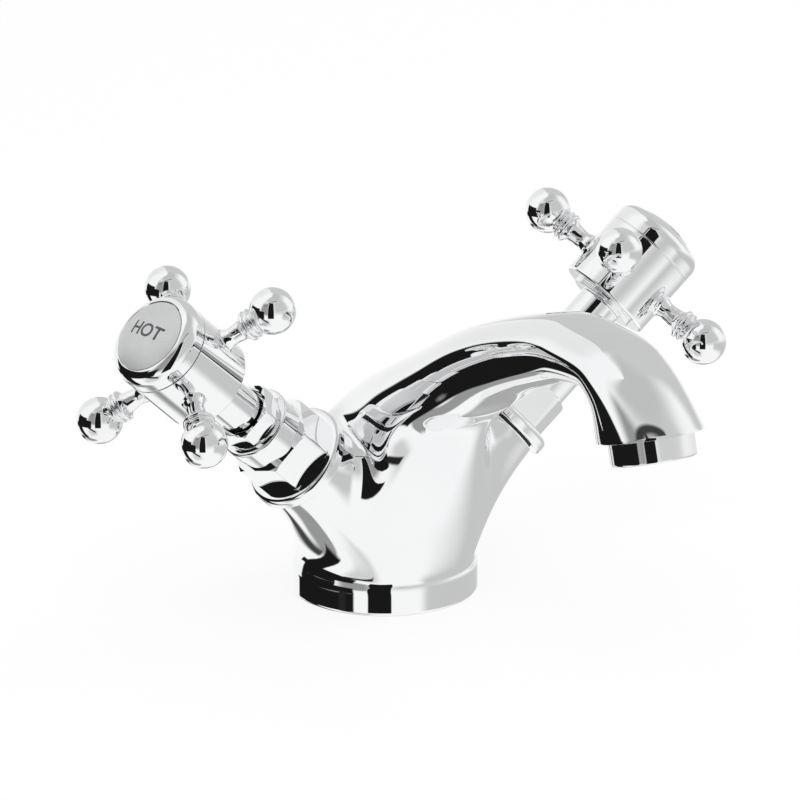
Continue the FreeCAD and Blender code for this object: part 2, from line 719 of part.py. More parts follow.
def handle_pieces(side):
    """One crosshead: sleeve, hub, four arms, cap, index disc and the screw under the cap."""
    place = handle_place(side)
    node(ring(side + "_sleeve", sleeve_inside, sleeve_radius, sleeve_low, hub_foot_low),
         side + "_spindle_sleeve", place)

    spindle_hole = spindle_top_radius + size.thread_play
    hub_foot_radius = size.hub_radius - size.hub_foot_inset
    screw_hole = size.screw_radius + size.thread_play
    hub = turned(side + "_hub", [
        (spindle_hole, hub_foot_low), (hub_foot_radius, hub_foot_low), (hub_foot_radius, hub_low),
        (size.hub_radius, hub_low), (size.hub_radius, hub_high), (pocket_radius, hub_high),
        (pocket_radius, pocket_floor), (screw_hole, pocket_floor), (screw_hole, hole_roof),
        (spindle_hole, hole_roof),
    ])
    arm_level = hub_low + size.arm_height
    arm_seat = size.hub_radius - size.arm_sink
    spigot_low = arm_seat - size.arm_spigot_length
    drilled = []
    for name, radius, floor in (
        ("socket", size.arm_spigot_radius + size.thread_play, spigot_low),
        ("seat", arm_root_radius + size.thread_play, arm_seat),
    ):
        circle = new_sketch(hub, side + "_hub_" + name, "YZ_Plane")
        bind(circle, "AttachmentOffset.Base.z", floor)
        circle.addGeometry(Part.Circle(FreeCAD.Vector(0, arm_level.value, 0), FreeCAD.Vector(0, 0, 1),
                                       radius.value), False)
        circle.addConstraint(Sketcher.Constraint("PointOnObject", 0, 3, -2))
        level = circle.addConstraint(Sketcher.Constraint("DistanceY", -1, 1, 0, 3, arm_level.value))
        bind(circle, "Constraints[" + str(level) + "]", arm_level)
        width = circle.addConstraint(Sketcher.Constraint("Radius", 0, radius.value))
        bind(circle, "Constraints[" + str(width) + "]", radius)
        hole = hub.newObject("PartDesign::Pocket", side + "_hub_" + name + "_cut")
        hole.Profile = circle
        hole.Reversed = True
        bind(hole, "Length", size.hub_radius)
        drilled.append(hole)
    sockets = hub.newObject("PartDesign::PolarPattern", side + "_hub_sockets")
    sockets.Originals = drilled
    sockets.Axis = (origin_feature(hub, "Z_Axis"), [""])
    sockets.Angle = 360
    sockets.Occurrences = ARM_COUNT
    hub.Tip = sockets
    node(hub, side + "_handle_hub", place)

    neck_end = arm_seat + size.arm_neck_length
    bead_start = neck_end + size.arm_flare_length
    bead_end = bead_start + size.bead_width
    ring_start = bead_end + size.groove_width
    ring_end = ring_start + size.ring_width
    ball_start = ring_end + size.ball_neck
    ball_cut = root(size.ball_radius * size.ball_radius - size.groove_radius * size.groove_radius)
    ball_centre = ball_start + ball_cut
    bead_bend = bulge_radius(size.bead_width, size.bead_bulge)
    ring_bend = bulge_radius(size.ring_width, size.ring_bulge)
    waist = (arm_seat + neck_end) / 2
    for count in range(ARM_COUNT):
        arm = turned(side + "_arm_" + str(count + 1), [
            (0, spigot_low), (size.arm_spigot_radius, spigot_low), (size.arm_spigot_radius, arm_seat),
            (arm_root_radius, arm_seat), (size.arm_waist_radius, waist),
            (size.arm_neck_radius, neck_end), (size.bead_radius, bead_start),
            (size.bead_radius, bead_end, bead_bend), (size.groove_radius, bead_end),
            (size.groove_radius, ring_start), (size.ring_radius, ring_start),
            (size.ring_radius, ring_end, ring_bend), (size.groove_radius, ring_end),
            (size.groove_radius, ball_start), (0, ball_centre + size.ball_radius, size.ball_radius),
        ])
        node(arm, side + "_handle_arm_" + str(count + 1),
             place + " * " + placed(0, 0, arm_level, 360 / ARM_COUNT * count, 90, 0))

    spigot_radius = pocket_radius - size.thread_play
    spigot_low_end = hub_high - size.cap_spigot_length
    hollow = spigot_radius - size.cap_wall
    index_wall = index_radius + size.thread_play
    lip = index_wall + size.cap_lip_width
    flat = size.cap_round - size.hub_radius + lip
    shoulder = cap_high - root(size.cap_round * size.cap_round - flat * flat)
    node(turned(side + "_cap", [
        (hollow, spigot_low_end), (spigot_radius, spigot_low_end), (spigot_radius, hub_high),
        (size.hub_radius, hub_high), (size.hub_radius, shoulder), (lip, cap_high, size.cap_round),
        (index_wall, cap_high), (index_wall, index_low), (0, index_low),
        (0, index_low - size.cap_wall), (hollow, index_low - size.cap_wall),
    ]), side + "_handle_cap", place)
    rim = index_low + size.index_rim_height
    dome = size.index_dome_height
    dome_bend = bulge_radius(2 * index_radius, dome)
    node(turned(side + "_disc", [
        (0, index_low), (index_radius, index_low), (index_radius, rim), (0, rim + dome, dome_bend),
    ]), side + "_index_disc", place)
    head_high = pocket_floor + size.screw_head_height
    screw = turned(side + "_screw_blank", [
        (0, pocket_floor - size.screw_length), (size.screw_radius, pocket_floor - size.screw_length),
        (size.screw_radius, pocket_floor), (screw_head_radius, pocket_floor),
        (screw_head_radius, head_high), (0, head_high),
    ])
    slot = doc.addObject("Part::Box", side + "_screw_slot")
    bind(slot, "Length", 2 * screw_head_radius)
    bind(slot, "Width", size.screw_slot_width)
    bind(slot, "Height", size.screw_slot_depth)
    slot.setExpression("Placement", placed(-screw_head_radius, -size.screw_slot_width / 2,
                                           head_high - size.screw_slot_depth, 0, 0, 0))
    node(cut(side + "_screw", screw, slot), side + "_handle_screw", place)


for side in VALVES:
    valve_pieces(side)
    spindle_pieces(side)
    handle_pieces(side)

doc.recompute()

# Every object of the document is sound before anything is written
for thing in doc.Objects:
    if "Invalid" in thing.State or "Error" in thing.State:
        raise RuntimeError(thing.Label + " failed: " + str(thing.State))
for solid in NODES:
    if solid.Shape.isNull() or not solid.Shape.isValid() or len(solid.Shape.Solids) != 1:
        raise RuntimeError(solid.Label + " is not one sound solid")

os.makedirs("parts", exist_ok=True)
for solid in NODES:
    solid.Shape.exportStep("parts/" + solid.Label + ".step")
    print(solid.Label, round(solid.Shape.Volume, 1))
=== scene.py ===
"""Chrome basin mixer with two crosshead valves, dressed over its packed solids."""

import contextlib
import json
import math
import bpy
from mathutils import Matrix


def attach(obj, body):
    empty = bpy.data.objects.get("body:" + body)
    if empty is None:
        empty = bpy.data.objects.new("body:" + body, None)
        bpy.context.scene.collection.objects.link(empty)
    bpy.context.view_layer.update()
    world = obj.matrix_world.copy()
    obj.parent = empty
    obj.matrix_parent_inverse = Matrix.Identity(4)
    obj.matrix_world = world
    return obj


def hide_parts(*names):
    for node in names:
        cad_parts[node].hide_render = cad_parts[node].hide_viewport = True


bl_info = {
    "name": "Basin mixer",
    "version": (1, 0, 0),
    "blender": (4, 5, 0),
    "location": "View3D > Sidebar > Basin mixer",
    "description": "Builds a chrome basin mixer with two crosshead valves",
    "category": "Object",
}

import bpy
from mathutils import Matrix, Vector

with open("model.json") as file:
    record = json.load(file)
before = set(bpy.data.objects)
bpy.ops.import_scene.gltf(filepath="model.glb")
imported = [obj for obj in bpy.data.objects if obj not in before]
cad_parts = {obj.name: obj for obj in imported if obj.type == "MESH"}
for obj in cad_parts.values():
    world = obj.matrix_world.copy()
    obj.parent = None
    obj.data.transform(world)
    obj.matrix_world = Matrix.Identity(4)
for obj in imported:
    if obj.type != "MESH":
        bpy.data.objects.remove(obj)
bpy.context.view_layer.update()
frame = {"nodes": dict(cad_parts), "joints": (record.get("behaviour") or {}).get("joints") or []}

MM = 0.001
SIDES = ("hot", "cold")
MIRRORED = {"hot": -1, "cold": 1}
ARMS = (1, 2, 3, 4)
TURN_STEPS = 96
RING_POINTS = 16
# Corners closer than this are one corner
SAME_PLACE = 1e-6
# Rounding of the finest turned edges
SMALL_EDGE = 0.25 * MM
# Room left beside a neighbour, and how far one shell of a piece runs into another
MARGIN = 0.1 * MM
OVERLAP = 0.05 * MM
# Height of a hexagon's turned chamfer as a share of its width
CHAMFER_FALL = 0.58
# Angles over which an edge stays sharp in shading, and over which a rim of the casting is rounded, in degrees
SHARP_TURNED, SHARP_HEXAGON, SHARP_CASTING = 32, 25, 35
RIM_ANGLE = 50


def valve_matrix(side):
    """A valve's own axes: Z outwards along the spindle, X outwards and down, from the middle of the mixer."""
    joint = next(j for j in frame["joints"] if j["name"] == side + "_handle_turn")
    outwards = Vector(joint["axis"]).normalized()
    if outwards.z < 0:
        outwards.negate()
    point = Vector(joint["pos_m"])
    root = point - outwards * (point.x / outwards.x)
    level = Vector((outwards.x, outwards.y, 0))
    down = level.normalized() * outwards.z - Vector((0, 0, level.length))
    across = outwards.cross(down)
    turned = Matrix((down, across, outwards)).transposed().to_4x4()
    return Matrix.Translation(root) @ turned


VALVES = {side: valve_matrix(side) for side in SIDES}


def local_points(node):
    """The corners of a valve piece's packed solid, in its valve's own axes."""
    back = VALVES[node.split("_")[0]].inverted()
    return [back @ corner.co for corner in frame["nodes"][node].data.vertices]


def span(node):
    """Lowest height, highest height and largest radius of a valve piece along its own valve."""
    points = local_points(node)
    heights = [p.z for p in points]
    return min(heights), max(heights), max(p.to_2d().length for p in points)


def bearing(node):
    """The way that a crosshead arm points round its valve, in radians."""
    points = local_points(node)
    middle = sum(points, Vector()) / len(points)
    return math.atan2(middle.y, middle.x)


def hex_bearing(node, low, high):
    """The way that a corner of a hexagon points round its valve, in radians, between two heights."""
    points = [p for p in local_points(node) if low + MARGIN < p.z < high]
    corner = max(points, key=lambda p: p.to_2d().length)
    return math.atan2(corner.y, corner.x)


HUB_LOW, HUB_HIGH, HUB_RADIUS = span("cold_handle_hub")
CAP_HIGH, CAP_RADIUS = span("cold_handle_cap")[1:]
INDEX_LOW, INDEX_HIGH, INDEX_RADIUS = span("cold_index_disc")
SLEEVE_LOW, SLEEVE_HIGH, SLEEVE_RADIUS = span("cold_spindle_sleeve")
GLAND_HIGH = span("cold_gland_nut")[1]
GASKET_LOW, GASKET_HIGH = span("cold_housing_gasket")[:2]
SEAT_LOW = span("cold_seat_seal")[0]
HOUSING_HIGH, FLANGE_RADIUS = span("cold_valve_housing")[1:]
ARM_LOW, ARM_HIGH, ARM_REACH = span("cold_handle_arm_1")


def length(millimetres, description):
    """A property that holds a length."""
    return bpy.props.FloatProperty(
        description=description, default=millimetres * MM, min=0.0, unit="LENGTH", precision=5)


def colour(red, green, blue, description):
    """A property that holds a colour."""
    return bpy.props.FloatVectorProperty(
        description=description, default=(red, green, blue), subtype="COLOR", size=3, min=0.0, max=1.0)


def share(amount, description):
    """A property that holds a share from nothing to all."""
    return bpy.props.FloatProperty(
        description=description, default=amount, min=0.0, max=1.0, subtype="FACTOR")


class MixerCasting(bpy.types.PropertyGroup):
    """Sizes of the casting."""

    foot_radius: length(26.0, "Outside radius of the round foot")
    foot_height: length(6.0, "Height of the plain band round the foot")
    foot_edge: length(0.9, "Rounding of the foot where it meets the deck")
    groove_radius: length(23.8, "Outside radius of the gasket groove under the foot")
    groove_depth: length(2.1, "Depth of the gasket groove under the foot")
    pocket_radius: length(18.7, "Radius of the pocket for the inlet block")
    pocket_depth: length(13.2, "Depth of the pocket for the inlet block")
    boss_face: length(GASKET_LOW / MM, "Distance of the valve seat from the middle of the mixer")
    boss_radius: length(12.6, "Radius of the valve seat")
    boss_bore: length(9.3, "Radius of the hole for the valve")
    bore_depth: length((GASKET_LOW - SEAT_LOW) / MM, "Depth of the hole for the valve")
    boss_pull: length(1.4, "How far the flow from pedestal to valve is drawn in")
    outlet_bore: length(10.7, "Radius of the hole in the end of the spout")
    rim: length(0.25, "Rounding of the sharp rims")


class MixerOutlet(bpy.types.PropertyGroup):
    """Sizes of the outlet ring."""

    radius: length(11.45, "Outside radius of the outlet ring")
    chamber: length(9.7, "Inside radius round the aerator")
    drop: length(6.5, "How far the ring stands below the spout")
    edge: length(0.55, "Rounding of the lower edge")
    ledge: length(3.0, "Width of the ledge over the aerator")


class MixerValve(bpy.types.PropertyGroup):
    """Sizes of the valve above the boss."""

    flange_height: length(3.8, "Thickness of the round flange")
    flange_edge: length(1.5, "Rounding of the flange")
    hex_flats: length(22.0, "Large hexagon across its flats")
    hex_height: length(10.8, "Height of the large hexagon")
    hex_chamfer: length(0.9, "Turned chamfer on the large hexagon")
    barrel_radius: length(10.5, "Radius of the plain barrel above the hexagon")
    barrel_edge: length(0.7, "Rounding of the barrel's top")
    collar_radius: length(8.5, "Radius of the gland nut's collar")
    collar_height: length(1.2, "Height of the gland nut's collar")
    gland_flats: length(16.0, "Gland nut across its flats")
    gland_chamfer: length(0.6, "Turned chamfer on the gland nut")
    recess_radius: length(7.1, "Radius of the recess round the sleeve")
    recess_depth: length(2.8, "Depth of the recess round the sleeve")
    sleeve_wall: length(1.2, "Wall of the sleeve")
    corner: length(0.3, "Rounding of the hexagons' corners")


class MixerHandle(bpy.types.PropertyGroup):
    """Sizes of a crosshead handle."""

    foot_radius: length(9.6, "Radius of the short foot under the drum")
    foot_height: length(1.3, "Height of the short foot under the drum")
    drum_edge: length(0.7, "Rounding of the drum's lower edge")
    seam: length(0.1, "Rounding either side of the seam between drum and cap")
    seam_gap: length(0.14, "Half the width of the slot between drum and cap")
    seam_depth: length(0.7, "Depth of the slot between drum and cap")
    cap_round: length(4.0, "Rounding of the cap")
    index_rim: length(1.3, "Straight height of the index disc")
    arm_root: length(2.9, "Radius of an arm at the drum")
    arm_sink: length(1.5, "How far an arm runs into its drum")
    arm_pad: length(0.5, "How much wider an arm is inside its drum")
    arm_waist: length(2.45, "Smallest radius of an arm")
    arm_neck: length(2.75, "Radius of an arm where its flare starts")
    neck_end: length(18.6, "Distance of the start of the flare from the spindle")
    bead_radius: length(4.4, "Radius of the bead on an arm")
    bead_start: length(20.5, "Distance of the bead from the spindle")
    bead_end: length(21.8, "Distance of the bead's far side from the spindle")
    groove_radius: length(3.6, "Radius of the groove behind the bead")
    groove_width: length(0.5, "Width of the groove behind the bead")
    ring_radius: length(4.3, "Radius of the thin ring behind the groove")
    ring_width: length(0.8, "Width of the thin ring behind the groove")
    ball_neck: length(3.3, "Radius of an arm where its ball starts")
    ball_radius: length(6.4, "Radius of the ball at the end of an arm")
    word_height: length(3.8, "Height of the word on an index disc")
    word_weight: length(0.09, "How much the word's strokes are thickened")
    word_rise: length(0.6, "How far the word stands above the middle of its disc")


class MixerFinish(bpy.types.PropertyGroup):
    """Colours of the finishes."""

    chrome: colour(0.925, 0.93, 0.935, "Polished chrome plate")
    chrome_deep: colour(0.82, 0.828, 0.84, "Chrome plate where it is a little hazed")
    enamel: colour(0.6, 0.605, 0.61, "Silver-grey index disc")
    ink: colour(0.055, 0.058, 0.062, "Words on the index discs")
    rubber: colour(0.022, 0.022, 0.024, "Seals and gaskets")
    brass: colour(0.70, 0.50, 0.24, "Bare brass inside")
    acetal: colour(0.72, 0.72, 0.70, "Moulded plastic inside the outlet")
    ceramic: colour(0.80, 0.79, 0.75, "Valve discs")


class MixerStage(bpy.types.PropertyGroup):
    """The room round the mixer."""

    floor: colour(0.95, 0.95, 0.95, "Pale floor")
    shadow: share(0.16, "How much of the floor takes the mixer's shadow")
    fill: share(0.78, "Brightness of the room on dull surfaces")


def only(piece):
    """Leave one object selected and active."""
    bpy.ops.object.select_all(action="DESELECT")
    piece.select_set(True)
    bpy.context.view_layer.objects.active = piece


def started(name):
    """The object just added, named."""
    piece = bpy.context.object
    piece.name = name
    piece.data.name = name
    return piece


def primitive(name, add, **settings):
    """A new primitive, with nothing else selected."""
    bpy.ops.object.select_all(action="DESELECT")
    add(**settings)
    return started(name)


@contextlib.contextmanager
def editing(piece):
    """Edit the mesh of one piece."""
    only(piece)
    bpy.ops.object.mode_set(mode="EDIT")
    yield
    bpy.ops.object.mode_set(mode="OBJECT")


@contextlib.contextmanager
def editing_edges(piece, chosen):
    """Edit a piece with the edges selected whose two ends together pass a test."""
    with editing(piece):
        bpy.ops.mesh.select_mode(type="EDGE")
        bpy.ops.mesh.select_all(action="DESELECT")
    corners = piece.data.vertices
    for edge in piece.data.edges:
        edge.select = chosen(*(corners[index].co for index in edge.vertices))
    with editing(piece):
        yield
        bpy.ops.mesh.select_mode(type="VERT")


def merged(threshold=SAME_PLACE):
    """Merge the corners that meet in the mesh being edited, and turn its faces outwards."""
    bpy.ops.mesh.select_all(action="SELECT")
    bpy.ops.mesh.remove_doubles(threshold=threshold)
    bpy.ops.mesh.normals_make_consistent(inside=False)


def applied(piece, kind, **settings):
    """Add a modifier with its settings and apply it."""
    only(piece)
    modifier = piece.modifiers.new(kind.title(), kind)
    for name, value in settings.items():
        setattr(modifier, name, value)
    bpy.ops.object.modifier_apply(modifier=modifier.name)


def cut(piece, tool, operation):
    """Cut a piece with another one, which is used up."""
    applied(piece, "BOOLEAN", operation=operation, object=tool, solver="EXACT")
    bpy.data.objects.remove(tool)


def smoothed(piece, degrees=SHARP_TURNED):
    """Shade smooth except over edges sharper than an angle."""
    only(piece)
    bpy.ops.object.shade_smooth_by_angle(angle=math.radians(degrees))


def set_down(piece, matrix):
    """Move a piece's mesh to its place and leave the object at the origin."""
    piece.matrix_world = matrix
    only(piece)
    bpy.ops.object.transform_apply(location=True, rotation=True, scale=True)


def copied(piece, name):
    """A copy with a mesh of its own."""
    only(piece)
    bpy.ops.object.duplicate(linked=False)
    return started(name)


def join(piece, shell):
    """Make another shell part of a piece."""
    only(piece)
    shell.select_set(True)
    bpy.ops.object.join()


def arc(radius, height, bend, start, end, steps=8):
    """Points on an arc about a centre at a radius and a height, between two angles in degrees."""
    points = []
    for step in range(steps + 1):
        turn = math.radians(start + (end - start) * step / steps)
        points.append((radius + bend * math.cos(turn), height + bend * math.sin(turn)))
    return points


def held_straight(outline, near=0.2 * MM):
    """An outline with points close to both ends of each long run, so that the run shades straight."""
    points = [outline[0]]
    for first, last in zip(outline, outline[1:]):
        run = math.dist(first, last)
        long_run = run > 6 * near
        for gap in (near, 2 * near, run - 2 * near, run - near) if long_run else ():
            part = gap / run
            points.append((first[0] + (last[0] - first[0]) * part, first[1] + (last[1] - first[1]) * part))
        points.append(last)
    return points


def turned(name, outline, steps=TURN_STEPS):
    """An outline of radius and height, spun once round the upright line through the origin."""
    piece = primitive(name, bpy.ops.mesh.primitive_plane_add, size=MM)
    with editing(piece):
        bpy.ops.mesh.select_all(action="SELECT")
        bpy.ops.mesh.merge(type="CENTER")
        here = Vector((outline[0][0], 0, outline[0][1]))
        bpy.ops.transform.translate(value=here)
        for radius, height in outline[1:]:
            there = Vector((radius, 0, height))
            bpy.ops.mesh.extrude_vertices_move(TRANSFORM_OT_translate={"value": there - here})
            here = there
        bpy.ops.mesh.select_all(action="SELECT")
        bpy.ops.mesh.spin(steps=steps, angle=math.tau, center=(0, 0, 0), axis=(0, 0, 1))
        merged(2 * SAME_PLACE)
    return piece


def hexagon(name, flats, low, high, chamfer, corner):
    """A hexagon with rounded corners and a turned chamfer at both ends."""
    outside = flats / math.sqrt(3)
    piece = primitive(
        name, bpy.ops.mesh.primitive_cylinder_add, vertices=6, radius=outside, depth=high - low,
        location=(0, 0, (low + high) / 2), rotation=(0, 0, math.pi / 2))
    bpy.ops.object.transform_apply(location=True, rotation=True, scale=True)
    with editing_edges(piece, lambda first, second: abs(first.z - second.z) > (high - low) / 2):
        bpy.ops.mesh.bevel(offset=corner, offset_type="OFFSET", segments=4, affect="EDGES")
    drop = chamfer * CHAMFER_FALL
    blank = turned(name + "_blank", [
        (0, low), (outside - chamfer, low), (outside, low + drop), (outside, high - drop),
        (outside - chamfer, high), (0, high),
    ])
    cut(piece, blank, "INTERSECT")
    return piece


def finished(piece, finish):
    """Give a piece one finish all over."""
    piece.data.materials.clear()
    piece.data.materials.append(finish_named(finish))


def dressed(piece, body, node=None, slot="chrome", finish="chrome"):
    """Finish a piece and put it on its body, in place of a packed solid if it stands for one."""
    finished(piece, finish)
    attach(piece, body)
    if node:
        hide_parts(node)


def on_both_sides(piece, suffix, moving, hexagon_ends=None, **looks):
    """Copy a valve piece made on the upright line to both valves."""
    for side in SIDES:
        node = side + "_" + suffix
        copy = copied(piece, "look_" + node)
        turn = hex_bearing(node, *hexagon_ends) if hexagon_ends else 0.0
        set_down(copy, VALVES[side] @ Matrix.Rotation(turn, 4, "Z"))
        dressed(copy, side + "_handle" if moving else "body", node, **looks)
    bpy.data.objects.remove(piece)


# Finishes
def sums(operation, reflected=False):
    """A way to join a wire and another value through one Math node."""

    def total(wire, other=0.0):
        first, second = (other, wire) if reflected else (wire, other)
        return wire.finish.add("ShaderNodeMath", {"operation": operation}, {0: first, 1: second})

    return total


class Wire:
    """A socket of a finish that takes part in sums as a number does."""

    def __init__(self, finish, socket):
        self.finish = finish
        self.socket = socket

    __add__ = sums("ADD")
    __radd__ = sums("ADD", True)
    __sub__ = sums("SUBTRACT")
    __rsub__ = sums("SUBTRACT", True)
    __mul__ = sums("MULTIPLY")
    __rmul__ = sums("MULTIPLY", True)
    __gt__ = sums("GREATER_THAN")
    most = sums("MAXIMUM")
    power = sums("POWER")
    arc_tangent = sums("ARCTAN2")
    arc_sine = sums("ARCSINE")


class Finish:
    """One material, or the world, and the nodes that make it."""

    def __init__(self, holder):
        self.holder = holder
        holder.use_nodes = True
        self.tree = holder.node_tree

    def feed(self, node, inputs):
        """Set or link some of a node's sockets."""
        for key, value in inputs.items():
            if isinstance(value, Wire):
                self.tree.links.new(value.socket, node.inputs[key])
            else:
                node.inputs[key].default_value = value

    def add(self, kind, settings=None, inputs=None, output=0):
        """Add a node, and hand on one of its outputs."""
        node = self.tree.nodes.new(kind)
        for name, value in (settings or {}).items():
            setattr(node, name, value)
        self.feed(node, inputs or {})
        return Wire(self, node.outputs[output])

    def place(self):
        """Places on the piece itself."""
        return self.add("ShaderNodeTexCoord", output="Object")

    def noise(self, scale, detail=2.0, roughness=0.5):
        """Soft blotches over the piece."""
        return self.add("ShaderNodeTexNoise", {}, {
            "Vector": self.place(), "Scale": scale, "Detail": detail, "Roughness": roughness})

    def mix(self, amount, first, second):
        """Two colours, mixed by an amount."""
        return self.add("ShaderNodeMix", {"data_type": "RGBA"}, {
            0: amount, 6: opaque(first), 7: opaque(second)}, 2)

    def shaded(self, amount, rgb, gain):
        """A colour that turns lighter or darker by an amount."""
        return self.mix(amount, rgb, [channel * gain for channel in rgb])

    def bump(self, height, strength, distance):
        """Normals for a slight relief."""
        return self.add("ShaderNodeBump", {}, {"Strength": strength, "Distance": distance, "Height": height})

    def surface(self, **sockets):
        """Set or link the sockets of the material's shader."""
        shader = self.tree.nodes["Principled BSDF"]
        self.feed(shader, {name.replace("_", " "): value for name, value in sockets.items()})


def opaque(rgb):
    """A colour with its alpha."""
    return tuple(min(1.0, channel) for channel in rgb) + (1.0,)


def new_finish(name):
    """An empty finish, named apart from the packed model's own materials."""
    return Finish(bpy.data.materials.new("mixer_" + name))


def chrome_finish(finish, colours):
    """Polished chrome plate with a slight haze, faint smears and the wobble of hand polishing."""
    haze = finish.noise(38.0, 3.0)
    smear = finish.noise(140.0, 4.0, 0.62)
    grit = finish.noise(2600.0)
    wobble = finish.noise(55.0, 1.0)
    finish.surface(
        Base_Color=finish.mix(haze.power(2.0) * 0.7, colours.chrome, colours.chrome_deep), Metallic=1.0,
        Roughness=0.006 + haze * 0.010 + (smear > 0.63) * 0.008 + grit * 0.004,
        Normal=finish.bump(wobble, 0.05, 0.0006))


def enamel_finish(finish, colours):
    """Silver-grey disc with a little mottling under a clear coat."""
    mottle = finish.noise(420.0, 3.0)
    speck = finish.noise(1900.0, 1.0)
    finish.surface(
        Base_Color=finish.shaded(mottle * 0.5 + (speck > 0.72) * 0.2, colours.enamel, 0.9), Metallic=0.5,
        Roughness=0.34 + mottle * 0.1, Coat_Weight=0.3, Coat_Roughness=0.06,
        Normal=finish.bump(mottle, 0.04, 0.0001))


def ink_finish(finish, colours):
    """Printed ink, a little thin in places."""
    thin = finish.noise(2400.0, 3.0)
    finish.surface(Base_Color=finish.shaded(thin.power(3.0), colours.ink, 2.4), Roughness=0.34 + thin * 0.2)


def rubber_finish(finish, colours):
    """Moulded black rubber with a fine grain."""
    grain = finish.noise(3200.0, 3.0)
    dust = finish.noise(160.0, 4.0)
    finish.surface(
        Base_Color=finish.shaded(dust.power(3.0), colours.rubber, 2.6), Roughness=0.62 + grain * 0.2,
        Normal=finish.bump(grain, 0.25, 0.00004))


def brass_finish(finish, colours):
    """Machined brass with fine turning marks and patches of dull oxide."""
    marks = finish.add("ShaderNodeTexWave", {"wave_type": "RINGS", "rings_direction": "Z"}, {
        "Vector": finish.place(), "Scale": 900.0, "Distortion": 1.5}, 1)
    oxide = finish.noise(120.0, 4.0)
    finish.surface(
        Base_Color=finish.shaded(oxide * 0.7, colours.brass, 0.55), Metallic=1.0,
        Roughness=0.22 + oxide * 0.25, Normal=finish.bump(marks, 0.12, 0.00002))


def acetal_finish(finish, colours):
    """Moulded plastic with a faint flow pattern."""
    flow = finish.noise(240.0, 3.0)
    grain = finish.noise(2800.0)
    finish.surface(
        Base_Color=finish.shaded(flow * 0.6, colours.acetal, 0.84), Roughness=0.34 + flow * 0.12,
        Normal=finish.bump(grain, 0.12, 0.00003))


def ceramic_finish(finish, colours):
    """Lapped ceramic with a fine speckle."""
    speckle = finish.noise(1800.0, 4.0)
    finish.surface(
        Base_Color=finish.shaded(speckle.power(2.0), colours.ceramic, 0.8), Roughness=0.2 + speckle * 0.15,
        Coat_Weight=0.2)


MAKERS = {
    "chrome": chrome_finish, "index_enamel": enamel_finish, "index_ink": ink_finish, "rubber": rubber_finish,
    "brass": brass_finish, "acetal": acetal_finish, "ceramic": ceramic_finish,
}


def finish_named(name):
    """A finish of the mixer, made the first time that it is asked for."""
    made = bpy.data.materials.get("mixer_" + name)
    if made is None:
        finish = new_finish(name)
        MAKERS[name](finish, bpy.context.scene.mixer_finish)
        made = finish.holder
    return made


# Casting: sections from the foot to the end of the spout, in millimetres and degrees
SECTIONS = (
    # forward, height, lean, half depth, half width, squareness, where 2 is an ellipse
    (0.0, 6.0, 0.0, 26.0, 26.0, 2.0),
    (0.6, 12.0, 2.0, 24.9, 25.1, 2.05),
    (3.2, 31.2, 12.0, 25.0, 25.2, 2.35),
    (12.8, 50.5, 17.0, 20.4, 18.2, 2.5),
    (27.1, 63.4, 30.0, 14.2, 17.4, 2.6),
    (42.3, 72.8, 46.0, 12.0, 16.8, 2.5),
    (59.7, 82.8, 58.0, 10.7, 15.3, 2.5),
    (83.9, 91.9, 77.0, 9.3, 13.7, 2.4),
    (105.0, 94.2, 98.0, 7.1, 13.1, 2.2),
    (115.5, 90.2, 128.0, 8.2, 13.2, 2.0),
    (124.6, 78.7, 164.5, 14.2, 14.4, 2.0),
)

# Rings of the casting's cage: the section at front and back, the one at the sides, and the swing to the back
RINGS = (
    (0.0, 0.0, 0.0), (0.4, 0.4, 0.0), (1.0, 1.1, -6.0), (1.7, 2.1, 2.0), (2.35, 3.05, 12.0), (3.2, 3.7, 8.0),
    (4.15, 4.35, 2.0), (5.0, 5.05, 0.0), (6.0, 6.0, 0.0), (7.0, 7.0, 0.0), (7.6, 7.6, 0.0), (8.2, 8.2, 0.0),
    (8.7, 8.7, 0.0), (9.2, 9.2, 0.0), (9.65, 9.65, 0.0), (10.0, 10.0, 0.0),
)
# Rings below, across and above the openings for the bosses, and half the width of an opening, in corners
LOW_ROW, MID_ROW, HIGH_ROW = 2, 3, 4
WINDOW = 2
# Turn round a valve from one corner of its opening to the next, in degrees
CORNER_TURN = 30
# How much fuller than their section the casting's diagonals are in those rings
FULLNESS = {LOW_ROW: 0.01, MID_ROW: 0.04, HIGH_ROW: 0.06}
# Corners of an opening are left free to move where the cosine of their turn round the valve is under this
FREE_COSINE = -0.2
# A boss's shoulder: how far it is under the valve seat, and how much wider
SHOULDER_DROP, SHOULDER_SPREAD = 3.0 * MM, 0.35 * MM
# The place on a valve's line towards which the flow is drawn, as a share of the seat's height
PULL_HEIGHT = 0.8
# Radius of the last ring in the floor of a hole, as a share of the hole's, and the depth of the outlet's hole
FLOOR_SHARE = 0.5
OUTLET_DEPTH = 5 * MM
# Times that the cage is smoothed, and the gap that is closed between its lowest ring and the foot
CASTING_LEVELS = 3
FOOT_SEAM = 0.03 * MM


def section_at(place):
    """One section between the listed ones, along a smooth curve through their numbers."""
    last = len(SECTIONS) - 1
    index = min(int(place), last - 1)
    part = place - index
    before = SECTIONS[max(index - 1, 0)]
    first, second = SECTIONS[index], SECTIONS[index + 1]
    after = SECTIONS[min(index + 2, last)]

    def gap(a, b):
        return max(math.hypot(a[0] - b[0], a[1] - b[1]), 1.0)

    mid = gap(first, second)
    square, cube = part * part, part * part * part
    numbers = []
    for p, a, b, n in zip(before, first, second, after):
        leave = mid * (b - p) / (mid + gap(before, first)) if index > 0 else b - a
        arrive = mid * (n - a) / (mid + gap(second, after)) if index < last - 1 else b - a
        numbers.append(a * (2 * cube - 3 * square + 1) + leave * (cube - 2 * square + part)
                       + b * (3 * square - 2 * cube) + arrive * (cube - square))
    return numbers


